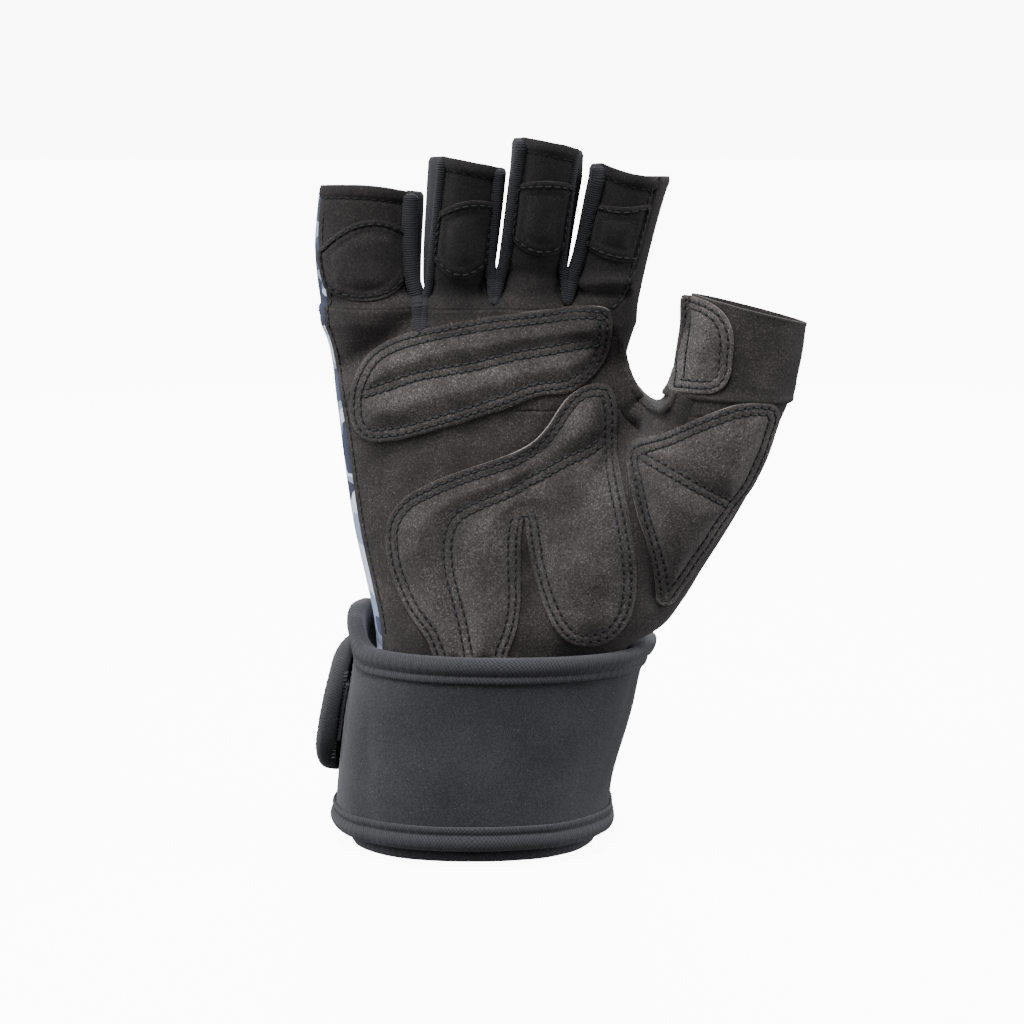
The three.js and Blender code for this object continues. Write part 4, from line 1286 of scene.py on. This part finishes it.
def build_hooks(form):
    """Hook tape between the strap's end and its start, with small hooks along its visible edges."""
    shape = Shape()
    turns = np.linspace(-20, 7, 30)[:, None]
    z = np.linspace(31, 49, 20)
    low = strap_lift(0.0, z) + STRAP["thick"] + 0.4
    zs = np.r_[z, z[::-1]][None]
    offs = np.r_[low, low[::-1] + 1.0][None]
    points = wrist_point(form, turns + 0 * zs, zs, offs)
    shape.grid(points, closed_v=True)
    for k in (0, -1):
        shape.grid(np.stack([points[k, :len(z)], points[k, len(z):][::-1]], 0))
    rng = np.random.default_rng(6)
    for turn in np.arange(-18, 8, 1.5):
        for zz in np.arange(26, 53, 1.1):
            ground = strap_lift(0.0, zz) + STRAP["thick"]
            foot = wrist_point(form, turn, zz, ground + 1.2)
            tip = wrist_point(form, turn + rng.uniform(-0.6, 0.6), zz + rng.uniform(-0.3, 0.3), ground + 2.5)
            ribbed_tube(shape, np.array([foot, (foot + tip) / 2, tip]), 0.16, 9.0, sides=4)
    return shape


def pad_stitches(form, outline, channels, edge, puff, reach):
    """Rows of stitches over a pad, as points and normals: inside its edge and beside each channel."""
    rows = []
    for inset in EDGE_STITCHES:
        line = outline + inwards_of(outline) * inset
        line = line[distance_to(outline, line[:, 0], line[:, 1]) > inset * 0.9]
        line = np.vstack([line, line[:1]])
        cuts = np.flatnonzero(np.linalg.norm(np.diff(line, axis=0), axis=1) > 4.0)
        rows += [bit for bit in np.split(line, cuts + 1) if len(bit) > 5]
    for channel in channels:
        for away in CHANNEL_STITCHES:
            bit = channel + left_of(channel) * away
            keep = inside_of(outline, bit[:, 0], bit[:, 1])
            keep &= distance_to(outline, bit[:, 0], bit[:, 1]) > 3.0
            rows.append(bit[keep])
    for row in rows:
        high = pad_height(row[:, 0], row[:, 1], outline, channels, edge, puff, reach)
        yield form.on_front(row[:, 0], row[:, 1], high)


# outline, channels, points round the outline, edge and full thickness in mm, width of the swelling in mm
PADS = {
    "upper_palm_pad": (UPPER_PAD, (UPPER_CHANNEL,), 220, 1.0, 3.0, 7.0),
    "heel_pad": (HEEL_PAD, (HEEL_CHANNEL,), 340, 1.0, 3.2, 8.0),
    "thumb_pad": (THUMB_PAD, (THUMB_CHANNEL,), 190, 1.0, 2.9, 7.0),
    "thumb_tab": (THUMB_TAB, (), 120, 0.9, 1.5, 5.0),
}
PAD_LOOKS = ("padded suede", "thread", "needle hole", "cut edge")
# the finger patches' thread and raw edge are darker than the pads': painted shade, like the finger fronts
PATCH_LOOKS = ("padded suede", "dark thread", "needle hole", "worn edge")


# materials
class Recipe:
    """A node material put together in a few lines."""

    def __init__(self, name, note):
        self.material = bpy.data.materials.new(name)
        self.material["note"] = note
        self.material.use_nodes = True
        self.tree = self.material.node_tree
        self.surface = self.tree.nodes["Principled BSDF"]

    def add(self, kind, inputs=(), **settings):
        """A node with its settings, its inputs given as values or as sockets."""
        node = self.tree.nodes.new(kind)
        for key, value in settings.items():
            setattr(node, key, value)
        for key, value in dict(inputs).items():
            self.feed(node.inputs[key], value)
        return node

    def feed(self, socket, value):
        """Links a socket to another, or sets its value."""
        if isinstance(value, bpy.types.NodeSocket):
            self.tree.links.new(value, socket)
        else:
            socket.default_value = value

    def place(self, uv=False):
        """Object coordinates, or the piece's own run-along coordinates, in metres."""
        if uv:
            return self.add("ShaderNodeUVMap", uv_map="run").outputs["UV"]
        return self.add("ShaderNodeTexCoord").outputs["Object"]

    def noise(self, place, per_metre, detail=3.0, rough=0.6):
        """Uneven value of 0 to 1, with about so many spots a metre."""
        return self.add(
            "ShaderNodeTexNoise",
            {"Vector": place, "Scale": per_metre, "Detail": detail, "Roughness": rough},
        ).outputs["Fac"]

    def ramp(self, value, stops, smooth=True):
        """Colour by a value's place among the stops, smooth or in steps."""
        node = self.add("ShaderNodeValToRGB", {"Fac": value})
        elements = node.color_ramp.elements
        while len(elements) < len(stops):
            elements.new(0.5)
        for element, (at, colour) in zip(elements, stops):
            element.position = at
            element.color = tuple(colour) + (1.0,)
        node.color_ramp.interpolation = "EASE" if smooth else "CONSTANT"
        return node.outputs["Color"]

    def mix(self, factor, a, b, blend="MIX"):
        """Two colours mixed; a Mix node's colours are its inputs 6 and 7 and its output 2."""
        node = self.add("ShaderNodeMix", {"Factor": factor}, data_type="RGBA", blend_type=blend)
        for socket, colour in ((node.inputs[6], a), (node.inputs[7], b)):
            self.feed(socket, colour if isinstance(colour, bpy.types.NodeSocket) else tuple(colour) + (1.0,))
        return node.outputs[2]

    def sums(self, operation, a, b=0.0):
        """One step of arithmetic."""
        node = self.add("ShaderNodeMath", operation=operation)
        self.feed(node.inputs[0], a)
        self.feed(node.inputs[1], b)
        return node.outputs[0]

    def done(self, colour, rough, bump, metres, strength=0.8, sheen=0.0, sheen_colour="#8A8A90"):
        """Links the colour, roughness and a height in metres to the surface."""
        self.feed(self.surface.inputs["Base Color"], colour)
        self.feed(self.surface.inputs["Roughness"], rough)
        self.surface.inputs["Specular IOR Level"].default_value = 0.25
        if sheen:
            self.surface.inputs["Sheen Weight"].default_value = sheen
            self.surface.inputs["Sheen Roughness"].default_value = 0.5
            self.surface.inputs["Sheen Tint"].default_value = linear(sheen_colour) + (1.0,)
        high = self.add("ShaderNodeBump", {"Strength": strength, "Distance": metres, "Height": bump})
        self.feed(self.surface.inputs["Normal"], high.outputs["Normal"])
        return self.material


# places on the glove where the suede's painted light and shade start and stop changing, in metres: up the
# palm, up to the fingers, then across to the thumb, from the little finger and past the index finger
HEEL_BAND = (0.066, 0.090)
KNUCKLE_BAND = (0.115, 0.150)
FINGER_BAND = (0.146, 0.178)
THUMB_BAND = (0.046, 0.060)
LITTLE_BAND = (-0.030, -0.016)
INDEX_BAND = (0.048, 0.058)


def painted_light_and_shade(r, place, low, middle, high, thumb, finger):
    """Painted light and shade: share of the colour kept up the palm, times that on the thumb, and on the
    finger fronts, which are darkened as painted shade.
    """
    at = r.add("ShaderNodeSeparateXYZ", {"Vector": place})

    def from_to(value, start, stop, a, b):
        """a below start, b above stop, without a corner between them."""
        inputs = {"Value": value, "From Min": start, "From Max": stop, "To Min": a, "To Max": b}
        return r.add("ShaderNodeMapRange", inputs, interpolation_type="SMOOTHSTEP").outputs["Result"]

    x, z = at.outputs["X"], at.outputs["Z"]
    lower, upper = from_to(z, *HEEL_BAND, low, middle), from_to(z, *KNUCKLE_BAND, 0.0, high - middle)
    palm = r.sums("MULTIPLY", r.sums("ADD", lower, upper), from_to(x, *THUMB_BAND, 1.0, thumb))
    little = from_to(x, *LITTLE_BAND, finger * 1.6, finger)
    fingers = r.sums("MULTIPLY", from_to(z, *FINGER_BAND, 0.0, 1.0), from_to(x, *INDEX_BAND, 1.0, 0.0))
    return r.sums("ADD", palm, r.sums("MULTIPLY", fingers, r.sums("SUBTRACT", little, palm)))


def suede_material(name, note, dark, mid, light, shares):
    """Napped synthetic suede: fine fibre grain, faint cloudy wear and light specks, its colour multiplied by
    painted light and shade.
    """
    r = Recipe(name, note)
    place = r.place()
    grain = r.noise(place, 1900.0, 3.0, 0.75)
    cloud = r.noise(place, 70.0, 4.0, 0.6)
    shade = r.sums("ADD", r.sums("MULTIPLY", grain, 0.75), r.sums("MULTIPLY", cloud, 0.35))
    colour = r.ramp(shade, ((0.41, linear(dark)), (0.56, linear(mid)), (0.73, linear(light))))
    colour = r.mix(specks(r, place, 1500.0, 0.12), colour, linear("#7E7A76"))
    # painted light and shade: the colour multiplied by a share that changes with place on the glove, darkest
    # on the finger fronts
    colour = r.mix(1.0, colour, painted_light_and_shade(r, place, *shares), "MULTIPLY")
    height = r.sums("ADD", grain, r.sums("MULTIPLY", r.noise(place, 700.0, 3.0, 0.6), 0.8))
    return r.done(colour, 0.95, height, 0.00028, 0.7, 0.35, "#6E6A70")


def print_material():
    """Soft camouflage print on a smooth stretch fabric, greys and blues."""
    r = Recipe("printed stretch fabric", "polyester and elastane knit with a generic camouflage print")
    place = r.place()
    squashed = r.add("ShaderNodeMapping", {"Vector": place, "Scale": (1.0, 1.0, 1.7)}).outputs["Vector"]
    first = r.noise(squashed, 42.0, 2.0, 0.5)
    moved = r.add("ShaderNodeMapping", {"Vector": squashed, "Location": (0.3, 0.1, 0.2)}).outputs["Vector"]
    second = r.noise(moved, 36.0, 2.0, 0.5)
    blues = ((0.0, linear("#39415A")), (0.40, linear("#7F8BA8")), (0.52, linear("#BAC4DA")))
    base = r.ramp(first, blues, False)
    dark = r.ramp(second, ((0.0, (0, 0, 0)), (0.58, (1, 1, 1))), False)
    colour = r.mix(dark, base, linear("#262C40"))
    weave = r.noise(place, 2400.0, 1.0)
    return r.done(colour, 0.75, weave, 0.0001, 0.5, 0.2)


def knit_material(name, note, dark, light, per_metre, metres):
    """Ribbed knit or tape: ribs across the run of the piece."""
    r = Recipe(name, note)
    run = r.add("ShaderNodeSeparateXYZ", {"Vector": r.place(uv=True)}).outputs["X"]
    wave = r.sums("SINE", r.sums("MULTIPLY", run, per_metre * 2 * math.pi))
    half = r.sums("ADD", r.sums("MULTIPLY", wave, 0.5), 0.5)
    fuzz = r.noise(r.place(), 2200.0, 2.0, 0.7)
    shade = r.sums("ADD", r.sums("MULTIPLY", half, 0.62), r.sums("MULTIPLY", fuzz, 0.4))
    colour = r.ramp(shade, ((0.15, linear(dark)), (0.85, linear(light))))
    return r.done(colour, 0.85, shade, metres, 0.9, 0.25)


def specks(r, place, per_metre, share):
    """Sparse light dots of lint: 1 inside a dot, 0 elsewhere."""
    cells = r.add("ShaderNodeTexVoronoi", {"Vector": place, "Scale": per_metre}, feature="F1")
    pick = r.add("ShaderNodeSeparateXYZ", {"Vector": cells.outputs["Color"]}).outputs["X"]
    near = r.sums("LESS_THAN", cells.outputs["Distance"], 0.16)
    return r.sums("MULTIPLY", near, r.sums("LESS_THAN", pick, share))


def jersey_material():
    """Nylon jersey bonded to foam: a very fine matt knit with a little lint."""
    r = Recipe("nylon-faced neoprene", "foam rubber with a fine nylon jersey face")
    place = r.place()
    fuzz = r.noise(place, 2100.0, 2.0, 0.7)
    cloud = r.noise(place, 50.0, 3.0)
    shade = r.sums("ADD", r.sums("MULTIPLY", fuzz, 0.75), r.sums("MULTIPLY", cloud, 0.3))
    colour = r.ramp(shade, ((0.38, linear("#191A1C")), (0.72, linear("#303135"))))
    colour = r.mix(specks(r, place, 1500.0, 0.05), colour, linear("#5E6065"))
    return r.done(colour, 0.85, shade, 0.00018, 0.7, 0.32, "#9EA1A8")


def tape_material():
    """Knitted binding: rows of small meshes along the tape."""
    r = Recipe("knitted tape", "elastic knitted binding")
    run = r.add("ShaderNodeSeparateXYZ", {"Vector": r.place(uv=True)})
    turn = 2 * math.pi
    across = r.sums("MULTIPLY", run.outputs["Y"], turn / 0.00082)
    along = r.sums("MULTIPLY", run.outputs["X"], turn / 0.00078)
    row = r.sums("MULTIPLY", r.sums("SINE", r.sums("MULTIPLY", across, 0.5)), 1.6)
    holes = r.sums("MULTIPLY", r.sums("SINE", across), r.sums("SINE", r.sums("ADD", along, row)))
    shade = r.sums("ADD", r.sums("MULTIPLY", holes, 0.28), 0.5)
    shade = r.sums("ADD", shade, r.sums("MULTIPLY", r.noise(r.place(), 1500.0, 2.0), 0.25))
    colour = r.ramp(shade, ((0.3, linear("#111114")), (0.9, linear("#37373C"))))
    return r.done(colour, 0.8, shade, 0.00025, 0.8, 0.26, "#9EA1A8")


def plain_material(name, note, colour, rough):
    """One tone with a slight unevenness, a quarter darker to a quarter lighter."""
    r = Recipe(name, note)
    fuzz = r.noise(r.place(), 3000.0, 2.0)
    dark, light = (tuple(v * share for v in linear(colour)) for share in (0.75, 1.25))
    shade = r.ramp(fuzz, ((0.3, dark), (0.7, light)))
    return r.done(shade, rough, fuzz, 0.00008, 0.5)


# share of the suede's colour kept as painted light and shade: low, middle and high on the palm, on the thumb,
# on the finger fronts
PALM_SHARES = (0.70, 0.64, 0.70, 0.78, 0.17)
PAD_SHARES = (1.45, 0.74, 1.0, 1.38, 0.18)

# how each material is made from the colours that a user can change
MAKERS = {
    "napped suede": lambda c: suede_material(
        "napped suede", "synthetic suede of the palm, charcoal",
        "#1B1918", c.suede, "#595452", PALM_SHARES),
    "padded suede": lambda c: suede_material(
        "padded suede", "synthetic suede over thin foam, charcoal",
        "#1D1B1B", c.pad, "#5F5B5A", PAD_SHARES),
    "printed fabric": lambda c: print_material(),
    "ribbed knit": lambda c: knit_material(
        "ribbed knit", "elastic rib knit of the side strips", "#111216", c.knit, 1500.0, 0.0002),
    "knitted tape": lambda c: tape_material(),
    "neoprene": lambda c: jersey_material(),
    "thread": lambda c: plain_material(
        "sewing thread", "bonded nylon thread, near black", c.thread, 0.6),
    # darker thread for the finger stitches: painted shade, to match the painted shade of the finger fronts
    "dark thread": lambda c: plain_material(
        "dark thread", "the same thread, worn darker on the fingers", "#131417", 0.7),
    # flat near-black discs at the stitches: painted shadow in a stitch's hole
    "needle hole": lambda c: plain_material(
        "needle hole", "shadow in the hole of a stitch", "#08080A", 0.9),
    "cut edge": lambda c: plain_material(
        "cut edge", "pale raw edge of the suede", "#6E6A68", 0.9),
    # darker raw edge of the finger patches: painted shade, to match the painted shade of the finger fronts
    "worn edge": lambda c: plain_material(
        "worn edge", "darker raw edge of the finger patches", "#262423", 0.9),
    "lining": lambda c: knit_material(
        "lining", "thin grey lining knit inside the back", "#26272C", "#44464E", 900.0, 0.0002),
    "hooks": lambda c: plain_material(
        "hook tape", "moulded nylon hooks", "#3C3D42", 0.5),
}
MADE = {}    # the materials made so far


def surface(context, name):
    """The named material, made the first time it is asked for."""
    if name not in MADE:
        MADE[name] = MAKERS[name](context.scene.glove_colours)
    return MADE[name]


# pieces
def settle(context, shape, node, slot, *materials):
    """The finished piece, standing for its CAD node and riding on the root body."""
    piece = shape.finish(node + "_cloth", [surface(context, m) for m in materials])
    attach(piece, "root")
    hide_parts(node)
    return piece


def settle_thread(context, shape, name, thread="thread"):
    """Stitches as a piece of their own, beside the cloth they hold."""
    piece = shape.finish(name, [surface(context, thread), surface(context, "needle hole")])
    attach(piece, "root")
    return piece


def rim_stitches(form):
    """One row of stitches below each finger's rim."""
    shape = Shape()
    for name in FINGERS:
        u = np.linspace(0.04, 0.96, 30)
        z = rim_height(form, name, u) - HEM_SEAM
        a, b = tongue_bounds(form, name, z)
        points, normals = form.on_front(a + (b - a) * u, z, hem_lift(HEM_SEAM))
        thread_run(shape, points, normals, form.pitch, form.thread)
    return shape


def seam_stitches(form):
    """Stitches along the little-finger seam and beside the index finger's side strip."""
    shape = Shape()
    z = np.linspace(66, 190, 140)    # from just above the wrap to just below the little finger's hem
    left, _ = form.extent(z, ("body", "little"))
    x = left + seam_inset(form, z) + 1.6
    points, normals = form.on_front(x, z, 0.0)
    thread_run(shape, points, normals, form.pitch, form.thread * 0.8)
    line = smooth_loop(form.flat(GUSSET_SEAM), 90, False)
    points, normals = form.on_front(line[:, 0] - 1.3, line[:, 1], 0.0, ("body", "index"))
    thread_run(shape, points, normals, form.pitch, form.thread * 0.8)
    return shape


def patch_stitches(form, shape, outline, high):
    """Stitches 1.3 mm inside a finger patch's edge, towards its middle."""
    inwards = outline.mean(axis=0) - outline
    line = outline + inwards * np.minimum(1, 1.3 / np.linalg.norm(inwards, axis=1))[:, None]
    line = np.vstack([line, line[:1]])
    points, normals = form.on_front(line[:, 0], line[:, 1], high)
    thread_run(shape, points, normals, form.pitch, form.thread, 1)


# settings
def length(name, note, value):
    """A length in metres that a user can change."""
    return bpy.props.FloatProperty(name=name, description=note, default=value, unit="LENGTH", precision=5)


def colour(name, note, value):
    """A colour that a user can change."""
    return bpy.props.StringProperty(name=name, description=note, default=value)


class GloveSizes(bpy.types.PropertyGroup):
    """Sizes that the pieces are worked out from."""

    height: length("Height", "Unit of the heights; the longest finger ends a little above it", 0.200)
    breadth: length("Breadth", "Unit of the widths across the palm", 0.100)
    depth: length("Depth", "Unit of the depths from palm to back", 0.050)
    wall: length("Wall", "Thickness of the suede and the fabric", 0.0014)
    pitch: length("Stitch pitch", "From one stitch to the next", 0.00245)
    thread: length("Thread", "Half the thickness of the thread", 0.00028)


class GloveColours(bpy.types.PropertyGroup):
    """Colours as sRGB hex."""

    suede: colour("Suede", "Middle tone of the palm", "#322F2E")
    pad: colour("Pads", "Middle tone of the pads", "#373433")
    knit: colour("Knit", "Light tone of the side strips", "#25252B")
    thread: colour("Thread", "Tone of the stitches", "#1F2125")


class GloveStage(bpy.types.PropertyGroup):
    """Camera and light."""

    distance: length("Distance", "Camera to the glove's middle", 0.750)
    ambient: bpy.props.FloatProperty(name="Ambient", description="Even light from all round", default=0.3)
    lens: bpy.props.FloatProperty(name="Lens", description="Focal length on a 36 mm sensor", default=87.9)
    elevation: bpy.props.FloatProperty(
        name="Elevation", description="Camera's angle above the glove",
        default=math.radians(10), subtype="ANGLE")


# operators
class GLOVE_OT_palm(bpy.types.Operator):
    """Build the palm side with its finger fronts"""

    bl_idname = "glove.palm"
    bl_label = "Palm"

    def execute(self, context):
        form = Form(context.scene.glove_sizes)
        piece = settle(context, build_palm(form), "palm_panel", "suede", "napped suede")
        rims = settle_thread(context, rim_stitches(form), "rim_stitches", "dark thread")
        seams = settle_thread(context, seam_stitches(form), "seam_stitches")
        return {"FINISHED"}


class GLOVE_OT_back(bpy.types.Operator):
    """Build the back of the hand"""

    bl_idname = "glove.back"
    bl_label = "Back"

    def execute(self, context):
        form = Form(context.scene.glove_sizes)
        piece = settle(context, build_back(form), "back_panel", "printed_fabric", "printed fabric", "lining")
        return {"FINISHED"}


class GLOVE_OT_strips(bpy.types.Operator):
    """Build the strips between the fingers and beside the index finger"""

    bl_idname = "glove.strips"
    bl_label = "Side strips"

    def execute(self, context):
        form = Form(context.scene.glove_sizes)
        for k, node in enumerate(
                ("fourchette_little_ring", "fourchette_ring_middle", "fourchette_middle_index")):
            piece = settle(context, build_fourchette(form, k), node, "ribbed_knit", "ribbed knit")
        piece = settle(context, build_gusset(form), "index_gusset", "suede", "napped suede")
        return {"FINISHED"}


class GLOVE_OT_thumb(bpy.types.Operator):
    """Build the thumb's tube"""

    bl_idname = "glove.thumb"
    bl_label = "Thumb"

    def execute(self, context):
        form = Form(context.scene.glove_sizes)
        piece = settle(context, build_sleeve(form), "thumb_sleeve", "suede", "napped suede")
        return {"FINISHED"}


class GLOVE_OT_pads(bpy.types.Operator):
    """Build the palm pads and the finger patches with their stitches"""

    bl_idname = "glove.pads"
    bl_label = "Pads"

    def execute(self, context):
        form = Form(context.scene.glove_sizes)
        for node, (rows, channel_rows, count, edge, puff, reach) in PADS.items():
            outline = smooth_loop(form.flat(rows), count)
            channels = [smooth_loop(form.flat(c), 60, False) for c in channel_rows]
            base = 0.35 if node == "thumb_tab" else 0.0
            shape = build_pad(form, outline, channels, edge, puff, reach, base)
            for points, normals in pad_stitches(form, outline, channels, edge, puff, reach):
                thread_run(shape, points + normals * base, normals, form.pitch, form.thread, 1)
            piece = settle(context, shape, node, "suede_pad", *PAD_LOOKS)
        for name in FINGERS:
            outline = smooth_loop(patch_outline(form, name), 120)
            shape = build_pad(form, outline, [], 0.8, 1.3, 3.0)
            patch_stitches(form, shape, outline, 0.85)
            piece = settle(context, shape, "finger_patch_" + name, "suede_pad", *PATCH_LOOKS)
        return {"FINISHED"}


class GLOVE_OT_wrist(bpy.types.Operator):
    """Build the cuff, the wrap, their bindings and the hook tape"""

    bl_idname = "glove.wrist"
    bl_label = "Wrist"

    def execute(self, context):
        form = Form(context.scene.glove_sizes)
        piece = settle(context, build_cuff(form), "wrist_cuff", "neoprene", "neoprene")
        piece = settle(context, build_strap(form), "wrist_wrap", "neoprene", "neoprene")
        for node, sign in (("wrap_binding_top", 1), ("wrap_binding_bottom", -1)):
            tape = build_tape(form, strap_path(sign), strap_lift, STRAP["thick"], WIDE_LEG, sign)
            piece = settle(context, tape, node, "binding", "knitted tape")
        around = np.linspace(0, 360, 1200)
        rim = build_tape(
            form, (around, CUFF["foot"] + 0 * around), lambda turn, z: -CUFF["thick"] + 0 * turn,
            CUFF["thick"], NARROW_LEG, -1, closed=True)
        piece = settle(context, rim, "cuff_binding", "binding", "knitted tape")
        settle(context, build_hooks(form), "hook_patch", "hook_tape", "hooks")
        return {"FINISHED"}


# softboxes: name, place in metres, power in watts, side in metres
LAMPS = (
    ("left", (-1.0, -0.15, 0.4), 18.0, 0.8),
    ("right", (1.0, -0.15, 0.4), 15.0, 0.8),
    ("top", (-0.15, -0.62, 1.1), 26.0, 0.5),
    ("back", (0.1, 1.0, 0.6), 12.0, 0.8),
)


FLOOR_HALF = 6.0          # metres
FLOOR_UP = -0.0006        # just under the glove
FLOOR_GLOW = 10.0
BACKDROP_GLOW = 12.0      # seen by the camera alone
GLOVE_MIDDLE = (0.0114, 0, 0.1005)
LAMP_TARGET = (0.01, 0, 0.1)


def facing(place, target):
    """Rotation of a lamp or a camera at a place that looks at the target."""
    return (Vector(target) - Vector(place)).to_track_quat("-Z", "Y").to_euler()


def white_room(ambient):
    """Even white light all round, and a brighter white seen behind the glove."""
    world = bpy.data.worlds.new("white room")
    world.use_nodes = True
    tree = world.node_tree
    plain = tree.nodes["Background"]
    plain.inputs["Color"].default_value = (1, 1, 1, 1)
    plain.inputs["Strength"].default_value = ambient
    seen = tree.nodes.new("ShaderNodeBackground")
    seen.inputs["Strength"].default_value = BACKDROP_GLOW
    mix = tree.nodes.new("ShaderNodeMixShader")
    tree.links.new(tree.nodes.new("ShaderNodeLightPath").outputs["Is Camera Ray"], mix.inputs[0])
    tree.links.new(plain.outputs[0], mix.inputs[1])
    tree.links.new(seen.outputs[0], mix.inputs[2])
    tree.links.new(mix.outputs[0], tree.nodes["World Output"].inputs["Surface"])
    return world


def pale_floor():
    """A glowing floor that the camera sees and the glove doesn't."""
    plane = bpy.data.meshes.new("floor")
    corners = [(x * FLOOR_HALF, y * FLOOR_HALF, FLOOR_UP) for x, y in ((-1, -1), (1, -1), (1, 1), (-1, 1))]
    plane.from_pydata(corners, [], [(0, 1, 2, 3)])
    pale = bpy.data.materials.new("pale floor")
    pale.use_nodes = True
    shader = pale.node_tree.nodes["Principled BSDF"]
    shader.inputs["Base Color"].default_value = (0.8, 0.8, 0.8, 1)
    shader.inputs["Emission Color"].default_value = (1, 1, 1, 1)
    shader.inputs["Emission Strength"].default_value = FLOOR_GLOW
    plane.materials.append(pale)
    floor = bpy.data.objects.new("floor", plane)
    floor.visible_diffuse = False
    floor.visible_glossy = False
    floor.visible_shadow = False
    return floor


def softbox(name, place, power, side):
    """A square lamp that faces the glove."""
    lamp = bpy.data.lights.new(name, "AREA")
    lamp.energy = power
    lamp.size = side
    light = bpy.data.objects.new(name, lamp)
    light.location = place
    light.rotation_euler = facing(place, LAMP_TARGET)
    return light


def front_camera(stage):
    """Camera in front of the palm, raised by its elevation."""
    camera = bpy.data.cameras.new("front")
    camera.lens = stage.lens
    camera.sensor_width = 36
    eye = bpy.data.objects.new("front", camera)
    away = Vector((0, -math.cos(stage.elevation), math.sin(stage.elevation)))
    eye.location = Vector(GLOVE_MIDDLE) + away * stage.distance
    eye.rotation_euler = facing(eye.location, GLOVE_MIDDLE)
    return eye


class GLOVE_OT_stage(bpy.types.Operator):
    """Set the camera and the soft light on white"""

    bl_idname = "glove.stage"
    bl_label = "Stage"

    def execute(self, context):
        stage = context.scene.glove_stage
        objects = context.scene.collection.objects
        context.scene.world = white_room(stage.ambient)
        floor = pale_floor()
        objects.link(floor)
        for lamp in LAMPS:
            objects.link(softbox(*lamp))
        eye = front_camera(stage)
        objects.link(eye)
        context.scene.camera = eye
        return {"FINISHED"}


OPERATORS = (
    GLOVE_OT_palm, GLOVE_OT_back, GLOVE_OT_strips, GLOVE_OT_thumb, GLOVE_OT_pads,
    GLOVE_OT_wrist, GLOVE_OT_stage,
)


class GLOVE_PT_panel(bpy.types.Panel):
    """Lists the steps in the order they run"""

    bl_idname = "GLOVE_PT_panel"
    bl_label = "Weightlifting Glove"
    bl_space_type = "VIEW_3D"
    bl_region_type = "UI"
    bl_category = "Glove"

    def draw(self, context):
        for group in ("glove_sizes", "glove_colours", "glove_stage"):
            box = self.layout.box()
            for key in getattr(context.scene, group).__annotations__:
                box.prop(getattr(context.scene, group), key)
        for step in OPERATORS:
            self.layout.operator(step.bl_idname)


CLASSES = (GloveSizes, GloveColours, GloveStage) + OPERATORS + (GLOVE_PT_panel,)


def register():
    for item in CLASSES:
        bpy.utils.register_class(item)
    bpy.types.Scene.glove_sizes = bpy.props.PointerProperty(type=GloveSizes)
    bpy.types.Scene.glove_colours = bpy.props.PointerProperty(type=GloveColours)
    bpy.types.Scene.glove_stage = bpy.props.PointerProperty(type=GloveStage)


def unregister():
    for name in ("glove_sizes", "glove_colours", "glove_stage"):
        delattr(bpy.types.Scene, name)
    for item in reversed(CLASSES):
        bpy.utils.unregister_class(item)


def main():
    register()
    bpy.ops.glove.palm()
    bpy.ops.glove.back()
    bpy.ops.glove.strips()
    bpy.ops.glove.thumb()
    bpy.ops.glove.pads()
    bpy.ops.glove.wrist()
    bpy.ops.glove.stage()


if __name__ == "__main__":
    main()
